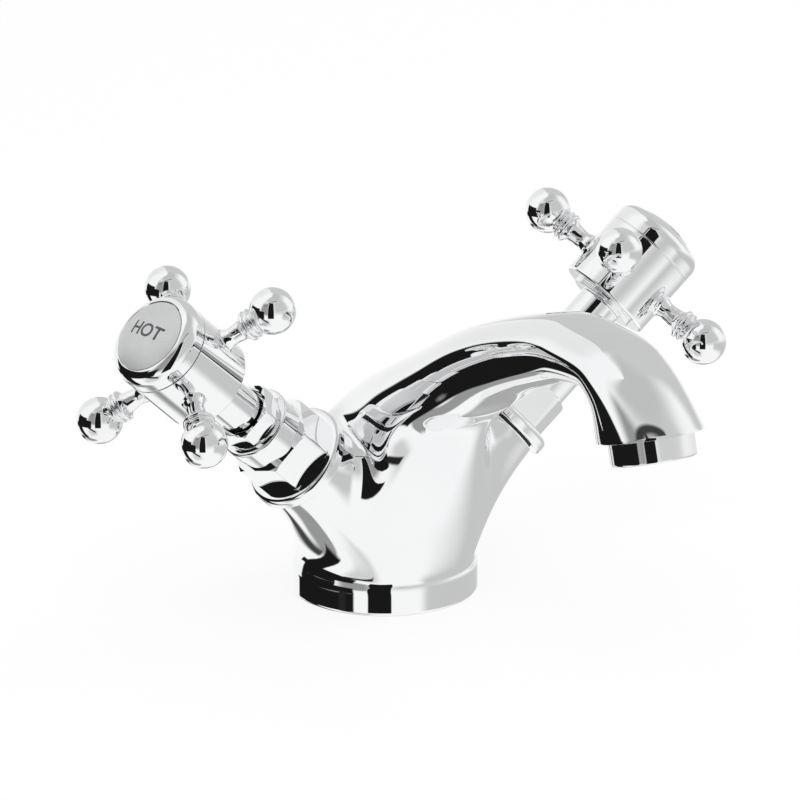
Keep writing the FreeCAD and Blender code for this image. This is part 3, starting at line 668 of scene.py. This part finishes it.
def squared(part, squareness):
    """A sine or cosine pushed out a little, for a section that is squarer than an ellipse."""
    return math.copysign(abs(part) ** (2 / squareness), part)


def casting_point(place, turn, scale=1.0):
    """A point of one section, a turn round it from the cold side towards the back."""
    forward, height, lean, depth, width, squareness = section_at(place)
    lean = math.radians(lean)
    sideways = scale * width * squared(math.cos(turn), squareness)
    up = scale * depth * squared(math.sin(turn), squareness)
    return Vector((sideways, up * math.cos(lean) - forward, height + up * math.sin(lean))) * MM


def ring_point(ring, number):
    """A corner of the cage, numbered round its ring."""
    ends, sides, swing = RINGS[ring]
    turn = math.tau * (number % RING_POINTS) / RING_POINTS
    place = ends + (sides - ends) * (1 - math.sin(turn) ** 4)
    swung = turn + math.radians(swing) * math.cos(turn)
    return casting_point(place, swung, 1 + FULLNESS.get(ring, 0.0) * math.sin(2 * turn) ** 4)


def keyed(point):
    """A point as a key, to the nearest tenth of a micrometre."""
    return tuple(round(number * 1e7) for number in point)


def between_keys(keys):
    """A test for an edge that joins two of some corners, known by their keys."""
    return lambda first, second: keyed(first) in keys and keyed(second) in keys


def window_turns(side):
    """Corners of the opening for a boss, as keys, with the turn of each round the valve."""
    flip = MIRRORED[side]
    turns = {}
    for step in range(-WINDOW, WINDOW + 1):
        number = step if flip > 0 else RING_POINTS // 2 - step
        turns[keyed(ring_point(LOW_ROW, number))] = flip * math.radians(CORNER_TURN * step)
        turns[keyed(ring_point(HIGH_ROW, number))] = flip * math.radians(180 - CORNER_TURN * step)
        if abs(step) == WINDOW:
            turns[keyed(ring_point(MID_ROW, number))] = flip * math.radians(1.5 * CORNER_TURN * step)
    return turns


def boss_ring(side, turns, height, radius):
    """Places on a ring round a valve, by the keys of its opening's corners."""
    return {key: VALVES[side] @ Vector((radius * math.cos(turn), radius * math.sin(turn), height))
            for key, turn in turns.items()}


def creased(cage, keys):
    """Hold the edges between some corners sharp when the cage is smoothed."""
    with editing_edges(cage, between_keys(keys)):
        bpy.ops.transform.edge_crease(value=1.0)


def drawn_through(cage, keys, steps):
    """Extrude an opening's ring through rings of places, and list the keys of each new ring."""
    current = {key: key for key in keys}
    rings = []
    for step in steps:
        moved = {current[key]: step[key] for key in keys}
        with editing_edges(cage, between_keys(moved)):
            bpy.ops.mesh.extrude_edges_move(TRANSFORM_OT_translate={"value": (0, 0, 0)})
        for corner in cage.data.vertices:
            if corner.select:
                corner.co = moved[keyed(corner.co)]
        current = {key: keyed(step[key]) for key in keys}
        rings.append(set(current.values()))
    return rings


def casting_cage(sizes):
    """The coarse cage above the foot, its rings that stay sharp and its free corners."""
    cage = primitive("look_body", bpy.ops.mesh.primitive_grid_add, size=1.0, x_subdivisions=RING_POINTS,
                     y_subdivisions=len(RINGS) - 1)
    for index, corner in enumerate(cage.data.vertices):
        corner.co = ring_point(*divmod(index, RING_POINTS + 1))
    with editing(cage):
        merged()
        bpy.ops.mesh.select_all(action="DESELECT")
    openings = {side: window_turns(side) for side in SIDES}
    for side in SIDES:
        middle = 0 if side == "cold" else RING_POINTS // 2
        hole = {keyed(ring_point(MID_ROW, middle + aside)) for aside in (-1, 0, 1)} | set(openings[side])
        for face in cage.data.polygons:
            face.select = face.select or all(keyed(cage.data.vertices[i].co) in hole for i in face.vertices)
    with editing(cage):
        bpy.ops.mesh.select_mode(type="FACE")
        bpy.ops.mesh.delete(type="FACE")
    sharp = []
    free = set()
    seat, bore = sizes.boss_face, sizes.boss_bore
    floor = seat - sizes.bore_depth
    for side, turns in openings.items():
        here = {keyed(corner.co): corner.co.copy() for corner in cage.data.vertices}
        shoulder = boss_ring(side, turns, seat - SHOULDER_DROP, sizes.boss_radius + SHOULDER_SPREAD)
        axis = VALVES[side] @ Vector((0, 0, seat * PULL_HEIGHT))
        drawn = {}
        for key, turn in turns.items():
            halfway = here[key].lerp(shoulder[key], 0.5)
            inwards = (axis - halfway).normalized()
            drawn[key] = halfway + inwards * sizes.boss_pull * (0.5 + 0.5 * math.cos(turn))
        soft = drawn_through(cage, turns, [drawn, shoulder])
        places = ((seat, sizes.boss_radius), (seat, bore), (floor, bore), (floor, bore * FLOOR_SHARE))
        turns_now = {keyed(point): turns[key] for key, point in shoulder.items()}
        sharp += drawn_through(cage, turns_now, [boss_ring(side, turns_now, *place) for place in places])
        free |= soft[0] | {key for key, turn in turns.items() if math.cos(turn) < FREE_COSINE}
    return cage, sharp, free


def settle(cage, free, rounds=8):
    """Move the cage until its smoothed surface passes through the corners that aren't free."""
    wanted = [corner.co.copy() for corner in cage.data.vertices]
    held = [keyed(corner.co) not in free for corner in cage.data.vertices]
    for _ in range(rounds):
        smooth = cage.evaluated_get(bpy.context.evaluated_depsgraph_get())
        found = [corner.co.copy() for corner in smooth.data.vertices[:len(wanted)]]
        for corner, want, have, hold in zip(cage.data.vertices, wanted, found, held):
            if hold:
                corner.co = corner.co + (want - have)
        cage.data.update()
        bpy.context.view_layer.update()


class MIXER_OT_casting(bpy.types.Operator):
    """Build the casting: foot, pedestal, two valve bosses and the arched spout"""

    bl_idname = "mixer.casting"
    bl_label = "Casting"

    def execute(self, context):
        sizes = context.scene.mixer_casting
        cage, sharp, free = casting_cage(sizes)
        last = len(SECTIONS) - 1
        centre = (casting_point(last, 0) + casting_point(last, math.pi)) / 2
        lean = math.radians(SECTIONS[last][2])
        inwards = Vector((0, math.sin(lean), -math.cos(lean))) * OUTLET_DEPTH
        tip = [ring_point(len(RINGS) - 1, number) for number in range(RING_POINTS)]
        spokes = {keyed(point): (point - centre).normalized() * sizes.outlet_bore for point in tip}
        sharp.append(set(spokes))
        sharp += drawn_through(cage, spokes, [
            {key: centre + spoke for key, spoke in spokes.items()},
            {key: centre + spoke + inwards for key, spoke in spokes.items()},
            {key: centre + spoke * FLOOR_SHARE + inwards for key, spoke in spokes.items()},
        ])
        for ring in sharp:
            creased(cage, ring)
        only(cage)
        smoothing = cage.modifiers.new("Smoothing", "SUBSURF")
        smoothing.levels = CASTING_LEVELS
        smoothing.render_levels = CASTING_LEVELS
        settle(cage, free)
        bpy.ops.object.modifier_apply(modifier=smoothing.name)
        edge = sizes.foot_edge
        foot = turned("foot_band", held_straight([
            (0, sizes.pocket_depth), (sizes.pocket_radius, sizes.pocket_depth),
            (sizes.pocket_radius, sizes.groove_depth), (sizes.groove_radius, sizes.groove_depth),
            (sizes.groove_radius, 0), *arc(sizes.foot_radius - edge, edge, edge, -90, 0),
            (sizes.foot_radius, sizes.foot_height),
        ]), steps=RING_POINTS * 2 ** CASTING_LEVELS)
        join(cage, foot)
        with editing(cage):
            bpy.ops.mesh.select_non_manifold(extend=False)
            bpy.ops.mesh.remove_doubles(threshold=FOOT_SEAM)
            bpy.ops.mesh.select_non_manifold(extend=False)
            bpy.ops.mesh.fill_holes(sides=0)
            bpy.ops.mesh.select_all(action="SELECT")
            bpy.ops.mesh.normals_make_consistent(inside=False)
        applied(cage, "BEVEL", width=sizes.rim, segments=3, limit_method="ANGLE",
                angle_limit=math.radians(RIM_ANGLE))
        smoothed(cage, SHARP_CASTING)
        dressed(cage, "body", "body")
        return {"FINISHED"}


class MIXER_OT_outlet(bpy.types.Operator):
    """Build the outlet ring under the end of the spout"""

    bl_idname = "mixer.outlet"
    bl_label = "Outlet ring"

    def execute(self, context):
        sizes = context.scene.mixer_outlet
        radius, chamber, drop, edge = sizes.radius, sizes.chamber, sizes.drop, sizes.edge
        lip, roof = 0.3 * MM, 0.9 * MM
        inside = chamber - sizes.ledge
        ring = turned("look_outlet_ring", held_straight([
            (inside, 0), (radius - lip, 0), *arc(radius - lip, lip, lip, -90, 0, 4),
            *arc(radius - edge, drop - edge, edge, 0, 90), *arc(chamber + lip, drop - lip, lip, 90, 180, 4),
            (chamber, roof), (inside, roof), (inside, 0),
        ]))
        smoothed(ring)
        forward, height, lean = SECTIONS[-1][:3]
        place = Matrix.Translation(Vector((0, -forward, height)) * MM)
        set_down(ring, place @ Matrix.Rotation(math.radians(lean), 4, "X"))
        dressed(ring, "body", "outlet_ring")
        return {"FINISHED"}


class MIXER_OT_housings(bpy.types.Operator):
    """Build the valve housings: flange, large hexagon and barrel"""

    bl_idname = "mixer.housings"
    bl_label = "Valve housings"

    def execute(self, context):
        sizes = context.scene.mixer_valve
        low, top, radius = GASKET_HIGH, HOUSING_HIGH, FLANGE_RADIUS
        flange = low + sizes.flange_height
        small, edge, barrel_edge = 2 * SMALL_EDGE, sizes.flange_edge, sizes.barrel_edge
        core = turned("housing", held_straight([
            (0, low), (radius - small, low), *arc(radius - small, low + small, small, -90, 0, 5),
            *arc(radius - edge, flange - edge, edge, 0, 90), (sizes.barrel_radius, flange),
            *arc(sizes.barrel_radius - barrel_edge, top - barrel_edge, barrel_edge, 0, 90, 6), (0, top),
        ]))
        smoothed(core)
        hexagon_top = flange + sizes.hex_height
        nut = hexagon("housing_hexagon", sizes.hex_flats, flange - 2 * OVERLAP, hexagon_top,
                      sizes.hex_chamfer, sizes.corner)
        smoothed(nut, SHARP_HEXAGON)
        join(core, nut)
        on_both_sides(core, "valve_housing", False, (flange, hexagon_top))
        return {"FINISHED"}


class MIXER_OT_glands(bpy.types.Operator):
    """Build the gland nuts with the recess round each sleeve"""

    bl_idname = "mixer.glands"
    bl_label = "Gland nuts"

    def execute(self, context):
        sizes = context.scene.mixer_valve
        low, top = HOUSING_HIGH, GLAND_HIGH
        seat, floor = low + sizes.collar_height, top - sizes.recess_depth
        nut = hexagon("gland", sizes.gland_flats, seat, top, sizes.gland_chamfer, sizes.corner)
        inside, flare, above = sizes.recess_radius, 0.4 * MM, top + OVERLAP
        recess = turned("gland_recess", [
            (0, floor), (inside, floor), (inside, top - flare), (inside + flare, above), (0, above),
        ])
        cut(nut, recess, "DIFFERENCE")
        smoothed(nut, SHARP_HEXAGON)
        radius, small = sizes.collar_radius, SMALL_EDGE
        collar = turned("gland_collar", [
            (0, low), (radius - small, low), *arc(radius - small, low + small, small, -90, 0, 4),
            (radius, seat + OVERLAP), (0, seat + OVERLAP),
        ])
        smoothed(collar)
        join(nut, collar)
        on_both_sides(nut, "gland_nut", False, (seat, top))
        return {"FINISHED"}


class MIXER_OT_sleeves(bpy.types.Operator):
    """Build the plain sleeves between the gland nuts and the handles"""

    bl_idname = "mixer.sleeves"
    bl_label = "Spindle sleeves"

    def execute(self, context):
        low, top, radius = SLEEVE_LOW, SLEEVE_HIGH, SLEEVE_RADIUS
        small, inside = SMALL_EDGE, radius - context.scene.mixer_valve.sleeve_wall
        sleeve = turned("sleeve", held_straight([
            (inside, low), *arc(radius - small, low + small, small, -90, 0, 4),
            *arc(radius - small, top - small, small, 0, 90, 4), (inside, top), (inside, low),
        ]))
        smoothed(sleeve)
        on_both_sides(sleeve, "spindle_sleeve", True)
        return {"FINISHED"}


class MIXER_OT_hubs(bpy.types.Operator):
    """Build the drums of the crosshead handles"""

    bl_idname = "mixer.hubs"
    bl_label = "Handle hubs"

    def execute(self, context):
        sizes = context.scene.mixer_handle
        low, top, radius = HUB_LOW, HUB_HIGH, HUB_RADIUS
        drum = low + sizes.foot_height
        edge, seam, small = sizes.drum_edge, sizes.seam, SMALL_EDGE
        face, inside = top - sizes.seam_gap, radius - sizes.seam_depth
        foot, bead = sizes.foot_radius - small, low + 3.6 * small
        hub = turned("hub", held_straight([
            (0, low), *arc(foot, low + small, small, -90, 90, 8), (foot, bead - small),
            *arc(foot, bead, small, -90, 90, 8), (foot, drum), *arc(radius - edge, drum + edge, edge, -90, 0),
            *arc(radius - seam, face - seam, seam, 0, 90, 4), (inside, face), (inside, top), (0, top),
        ]))
        smoothed(hub)
        on_both_sides(hub, "handle_hub", True)
        return {"FINISHED"}


class MIXER_OT_caps(bpy.types.Operator):
    """Build the rounded caps with the seat of the index disc"""

    bl_idname = "mixer.caps"
    bl_label = "Handle caps"

    def execute(self, context):
        sizes = context.scene.mixer_handle
        low, top, radius = HUB_HIGH, CAP_HIGH, CAP_RADIUS
        seat, bend, seam = INDEX_RADIUS + MARGIN, sizes.cap_round, sizes.seam
        face, inside = low + sizes.seam_gap, radius - sizes.seam_depth
        floor, rim_fall = INDEX_LOW - 2 * MARGIN, 0.12 * MM
        end = math.degrees(math.acos(min(1.0, (seat + SMALL_EDGE - (radius - bend)) / bend)))
        lip = arc(radius - bend, top - bend, bend, 0, end, 14)
        cap = turned("cap", held_straight([
            (0, low), (inside, low), (inside, face), *arc(radius - seam, face + seam, seam, -90, 0, 4), *lip,
            (seat, lip[-1][1] - rim_fall), (seat, floor), (0, floor),
        ]))
        smoothed(cap)
        on_both_sides(cap, "handle_cap", True)
        return {"FINISHED"}


# Steps in the flare of a handle arm, and round the arm
FLARE_STEPS = 7
ARM_STEPS = 64


def along(place, radius, bend, start, steps):
    """A bulge in an arm's outline, about a centre at a place along the arm, from an angle in degrees."""
    return [(out, far) for far, out in arc(place, radius, bend, start, 0, steps)]


class MIXER_OT_arms(bpy.types.Operator):
    """Build the turned arms with their beads and balls"""

    bl_idname = "mixer.arms"
    bl_label = "Handle arms"

    def execute(self, context):
        sizes = context.scene.mixer_handle
        drum, reach, ball = HUB_RADIUS, ARM_REACH, sizes.ball_radius
        start, pad = drum - sizes.arm_sink, sizes.arm_root + sizes.arm_pad
        throat, neck_end, bead_start = drum + 0.9 * MM, sizes.neck_end, sizes.bead_start
        waist = (drum + neck_end) / 2
        groove_end = sizes.bead_end + sizes.groove_width
        ring_end = groove_end + sizes.ring_width
        bead_bend, ring_bend = (sizes.bead_end - bead_start) / 2, (ring_end - groove_end) / 2
        flare = sizes.bead_radius - bead_bend - sizes.arm_neck
        meet = math.degrees(math.asin(sizes.ball_neck / ball))
        gap, ease = 0.02 * MM, 0.1 * MM
        outline = [
            (0, start), (pad, start), (pad, drum), (sizes.arm_root + ease, drum + 4 * ease),
            (sizes.arm_root, throat), (sizes.arm_waist + 0.8 * ease, (throat + waist) / 2),
            (sizes.arm_waist, waist), (sizes.arm_waist + ease, (waist + neck_end) / 2),
        ]
        for step in range(FLARE_STEPS):
            part = step / FLARE_STEPS
            outline.append((sizes.arm_neck + flare * part * part, neck_end + (bead_start - neck_end) * part))
        outline += along(bead_start + bead_bend, sizes.bead_radius - bead_bend, bead_bend, 180, 10)
        outline += [(sizes.groove_radius, sizes.bead_end + gap), (sizes.groove_radius, groove_end - gap)]
        outline += along(groove_end + ring_bend, sizes.ring_radius - ring_bend, ring_bend, 180, 8)
        outline += [(sizes.ball_neck, ring_end + gap), *along(reach - ball, 0, ball, 180 - meet, 30)]
        outline[-1] = (0, reach)
        arm = turned("arm", outline, steps=ARM_STEPS)
        smoothed(arm)
        middle = Matrix.Translation((0, 0, (ARM_LOW + ARM_HIGH) / 2))
        outwards = Matrix.Rotation(math.pi / 2, 4, "Y")
        for side in SIDES:
            for number in ARMS:
                node = side + "_handle_arm_" + str(number)
                copy = copied(arm, "look_" + node)
                set_down(copy, VALVES[side] @ middle @ Matrix.Rotation(bearing(node), 4, "Z") @ outwards)
                dressed(copy, side + "_handle", node)
        bpy.data.objects.remove(arm)
        return {"FINISHED"}


WORDS = {"hot": "HOT", "cold": "COLD"}
# A word stands upright on its disc, seen from outside
WORD_TURN = math.radians(90)
# Height of a capital as a share of its font's size
CAPITAL_SHARE = 0.7


class MIXER_OT_indices(bpy.types.Operator):
    """Build the domed index discs and the plain words on them"""

    bl_idname = "mixer.indices"
    bl_label = "Index discs"

    def execute(self, context):
        sizes = context.scene.mixer_handle
        low, top, radius = INDEX_LOW, INDEX_HIGH, INDEX_RADIUS
        rise = top - (low + sizes.index_rim)
        dome = (radius * radius + rise * rise) / (2 * rise)
        edge = math.degrees(math.acos(radius / dome))
        disc = turned("index", [
            (0, low), (radius, low), *arc(0, top - dome, dome, edge, 90, 24)[:-1], (0, top),
        ])
        smoothed(disc)
        on_both_sides(disc, "index_disc", True, slot="index", finish="index_enamel")
        for side in SIDES:
            self.add_word(side, sizes, top, dome)
        return {"FINISHED"}

    def add_word(self, side, sizes, top, dome):
        """A thin word that follows its disc's dome."""
        proud, thickness = 0.02 * MM, 0.05 * MM
        bpy.ops.object.select_all(action="DESELECT")
        bpy.ops.object.text_add()
        text = bpy.context.object.data
        text.body = WORDS[side]
        text.size = sizes.word_height / CAPITAL_SHARE
        text.align_x = "CENTER"
        text.align_y = "CENTER"
        text.offset = sizes.word_weight
        bpy.ops.object.convert(target="MESH")
        word = started("look_" + side + "_word")
        with editing(word):
            bpy.ops.mesh.select_all(action="SELECT")
            bpy.ops.mesh.remove_doubles(threshold=SAME_PLACE)
            bpy.ops.mesh.quads_convert_to_tris()
            bpy.ops.mesh.subdivide(number_cuts=2)
        for corner in word.data.vertices:
            corner.co.y += sizes.word_rise
            flat = corner.co.to_2d().length
            corner.co.z = top - dome + math.sqrt(dome * dome - flat * flat) + proud
        applied(word, "SOLIDIFY", thickness=thickness, offset=-1.0)
        set_down(word, VALVES[side] @ Matrix.Rotation(WORD_TURN, 4, "Z"))
        dressed(word, side + "_handle", slot="index", finish="index_ink")


INNER_FINISHES = {
    "base_gasket": "rubber", "inlet_block": "brass", "aerator_washer": "rubber", "aerator_insert": "acetal",
    "seat_seal": "rubber", "fixed_disc": "ceramic", "moving_disc": "ceramic", "housing_gasket": "rubber",
    "spindle": "brass", "thrust_washer": "acetal", "spindle_o_ring": "rubber", "handle_screw": "brass",
}


class MIXER_OT_inner_parts(bpy.types.Operator):
    """Give the seals, discs, spindles and other inner solids their finishes"""

    bl_idname = "mixer.inner_parts"
    bl_label = "Inner parts"

    def execute(self, context):
        for suffix, finish in INNER_FINISHES.items():
            names = [suffix] if suffix in frame["nodes"] else [side + "_" + suffix for side in SIDES]
            for name in names:
                finished(frame["nodes"][name], finish)
        return {"FINISHED"}


# The room that polished surfaces show: panels by bearing from its front and by height, in degrees
PANELS = {
    # left, right, low, high, slope, softness, strength
    "rear": (-190, -128, 4, 60, 0, 30, 0.87),
    "overhead": (-62, 166, 51, 120, 0, 34, 0.56),
    "right_rear": (120, 190, 0, 66, 0, 18, 0.62),
    "right_front": (2, 78, 2, 60, 0, 28, 0.60),
    "left_front": (-66, -26, -6, 47, 0, 16, 0.33),
    "below_right": (42, 164, -37, -6, -0.2, 16, 0.60),
    "below_left": (-70, -20, -60, -30, 0, 20, 0.68),
    "below_rear": (-156, -108, -80, -48, 0, 9, 0.33),
    "below_rear_right": (160, 200, -56, -24, 0, 9, 0.42),
    "rear_band": (-177, -134, -43, -35, -0.38, 5, 0.06),
    "left_low": (-128, -46, -16, 9, 0, 3, 0.01),
    "left_base": (-138, -46, -23, -13, 0, 3, 0.01),
    "left_rise": (-116, -72, 0, 14, 0.15, 3, 0.01),
    "left_deep": (-130, -100, -58, -12, 0, 4, 0.01),
    "left_foot": (-66, -28, -36, -26, -0.6, 4, 0.02),
    "front_bar": (-28, 1, -21.5, 54, 0, 1.5, 0.01),
}
ROOM_FRONT = -116
# The dark rail over the camera: bearing and height of its highest point, its ends, its half width,
# the softness of its sides and of its ends, and its strength
RAIL = (17, 62, -52, 40, 1.3, 1.5, 6.0, 0.05)
WHITE = (1, 1, 1, 1)
FLOOR_SIZE = 16.0
# Soft lamps: place, width and power
LAMPS = {
    "key_lamp": ((-0.9, -1.1, 1.6), 1.4, 14.0),
    "side_lamp": ((1.3, -0.4, 1.2), 1.2, 6.0),
}
# The camera: its own axes, where it looks, how far away it is, and its settings
VIEW_RIGHT = Vector((0.8276, -0.5613, 0.0))
VIEW_UP = Vector((0.1763, 0.2598, 0.9494))
VIEW_BACK = Vector((-0.5330, -0.7857, 0.3140))
AIM = Vector((0, -20, 60)) * MM
CAMERA_DISTANCE = 1.8
CAMERA = {
    "sensor_width": 36.0, "lens": 296.3, "shift_x": -0.0305, "shift_y": -0.0010, "clip_start": 0.01,
    "clip_end": 100.0,
}


def between(room, value, low, high, softness):
    """One between two limits and nothing outside them, with soft edges."""
    half = softness / 2
    rising = room.add("ShaderNodeMapRange", {"interpolation_type": "SMOOTHSTEP"}, {
        "Value": value, "From Min": low - half, "From Max": low + half})
    falling = room.add("ShaderNodeMapRange", {"interpolation_type": "SMOOTHSTEP"}, {
        "Value": 0.0 - value, "From Min": -high - half, "From Max": half - high})
    return rising * falling


def room_strength(room):
    """Brightness of the studio for each way that a polished surface looks."""
    way = room.add("ShaderNodeVectorRotate", {"rotation_type": "Z_AXIS"}, {
        "Vector": room.add("ShaderNodeTexCoord", output="Generated"), "Angle": math.radians(-ROOM_FRONT)})
    x, y, z = (room.add("ShaderNodeSeparateXYZ", {}, {0: way}, axis) for axis in range(3))
    round_room = y.arc_tangent(x) * math.degrees(1)
    height = z.arc_sine() * math.degrees(1)
    strength = 1.0
    for left, right, low, high, slope, softness, tone in PANELS.values():
        level = height - slope * (round_room - (left + right) / 2)
        inside = between(room, round_room, left, right, softness) * between(room, level, low, high, softness)
        strength = strength + (tone - strength) * inside
    peak, top, left, right, half, softness, end_softness, tone = RAIL
    turn, tilt = math.radians(peak), math.radians(top - 90)
    square = (math.cos(turn) * math.cos(tilt), math.sin(turn) * math.cos(tilt), math.sin(tilt))
    aside = room.add("ShaderNodeVectorMath", {"operation": "DOT_PRODUCT"}, {0: way, 1: square}, 1)
    off = aside.arc_sine() * math.degrees(1)
    ends = between(room, round_room, left, right, end_softness) * (z > 0.0)
    inside = between(room, off, -half, half, softness) * ends
    return strength + (tone - strength) * inside


def seen_plainly(finish):
    """One for rays from the camera or through something clear, and nothing for others."""
    straight = finish.add("ShaderNodeLightPath", output="Is Camera Ray")
    return straight.most(finish.add("ShaderNodeLightPath", output="Is Transmission Ray"))


class MIXER_OT_stage(bpy.types.Operator):
    """Set up the floor, the soft light and the camera"""

    bl_idname = "mixer.stage"
    bl_label = "Stage"

    def execute(self, context):
        settings = context.scene.mixer_stage
        self.add_floor(settings)
        self.light_world(context, settings)
        self.add_lamps()
        self.add_camera(context)
        return {"FINISHED"}

    def add_floor(self, settings):
        """A pale floor that is white to the camera but for the mixer's shadow."""
        floor = primitive("floor", bpy.ops.mesh.primitive_plane_add, size=FLOOR_SIZE)
        surface = new_finish("floor_white")
        dull = surface.add("ShaderNodeBsdfDiffuse", {}, {"Color": opaque(settings.floor)})
        bright = surface.add("ShaderNodeEmission", {}, {"Color": WHITE, "Strength": 1.0})
        whiteness = seen_plainly(surface) * (1.0 - settings.shadow)
        blend = surface.add("ShaderNodeMixShader", {}, {0: whiteness, 1: dull, 2: bright})
        surface.feed(surface.tree.nodes["Material Output"], {"Surface": blend})
        floor.data.materials.append(surface.holder)
        floor.visible_glossy = False

    def light_world(self, context, settings):
        """White to the camera, the studio's panels to polished surfaces, and an even light to dull ones."""
        world = context.scene.world or bpy.data.worlds.new("room")
        context.scene.world = world
        room = Finish(world)
        polished = room.add("ShaderNodeLightPath", output="Is Glossy Ray")
        plain = seen_plainly(room)
        dull = settings.fill * (1.0 - polished.most(plain))
        strength = plain.most(polished * room_strength(room)).most(dull)
        background = next(node for node in room.tree.nodes if node.type == "BACKGROUND")
        room.feed(background, {"Color": WHITE, "Strength": strength})

    def add_lamps(self):
        """Wide soft lamps that polished surfaces don't show."""
        for name, (place, size, power) in LAMPS.items():
            bpy.ops.object.light_add(type="AREA", location=place)
            lamp = bpy.context.object
            lamp.name = name
            lamp.data.size = size
            lamp.data.energy = power
            lamp.visible_glossy = False
            lamp.rotation_euler = (Vector(place) - AIM).to_track_quat("Z", "Y").to_euler()

    def add_camera(self, context):
        """The camera at the photograph's angle."""
        bpy.ops.object.camera_add()
        camera = bpy.context.object
        camera.name = "camera"
        turn = Matrix((VIEW_RIGHT, VIEW_UP, VIEW_BACK)).transposed().to_4x4()
        camera.matrix_world = Matrix.Translation(AIM + VIEW_BACK * CAMERA_DISTANCE) @ turn
        for name, value in CAMERA.items():
            setattr(camera.data, name, value)
        context.scene.camera = camera
        context.scene.view_settings.view_transform = "Standard"


OPERATORS = (
    MIXER_OT_casting, MIXER_OT_outlet, MIXER_OT_housings, MIXER_OT_glands, MIXER_OT_sleeves, MIXER_OT_hubs,
    MIXER_OT_caps, MIXER_OT_arms, MIXER_OT_indices, MIXER_OT_inner_parts, MIXER_OT_stage,
)
GROUPS = {
    "mixer_casting": MixerCasting, "mixer_outlet": MixerOutlet, "mixer_valve": MixerValve,
    "mixer_handle": MixerHandle, "mixer_finish": MixerFinish, "mixer_stage": MixerStage,
}


class MIXER_PT_panel(bpy.types.Panel):
    """Sizes, finishes and steps of the basin mixer"""

    bl_idname = "MIXER_PT_panel"
    bl_label = "Basin mixer"
    bl_space_type = "VIEW_3D"
    bl_region_type = "UI"
    bl_category = "Basin mixer"

    def draw(self, context):
        for name, group in GROUPS.items():
            box = self.layout.box()
            box.label(text=group.__doc__)
            for prop in group.__annotations__:
                label = prop.replace("_", " ").capitalize()
                box.prop(getattr(context.scene, name), prop, text=label)
        for operator in OPERATORS:
            self.layout.operator(operator.bl_idname)


def register():
    """Make the properties, steps and panel known to Blender."""
    for name, group in GROUPS.items():
        bpy.utils.register_class(group)
        setattr(bpy.types.Scene, name, bpy.props.PointerProperty(type=group))
    for operator in OPERATORS:
        bpy.utils.register_class(operator)
    bpy.utils.register_class(MIXER_PT_panel)


def unregister():
    """Take them away again."""
    bpy.utils.unregister_class(MIXER_PT_panel)
    for operator in reversed(OPERATORS):
        bpy.utils.unregister_class(operator)
    for name, group in GROUPS.items():
        delattr(bpy.types.Scene, name)
        bpy.utils.unregister_class(group)


def main():
    """Build the mixer piece by piece."""
    register()
    for operator in OPERATORS:
        group, step = operator.bl_idname.split(".")
        getattr(getattr(bpy.ops, group), step)()


if __name__ == "__main__":
    main()
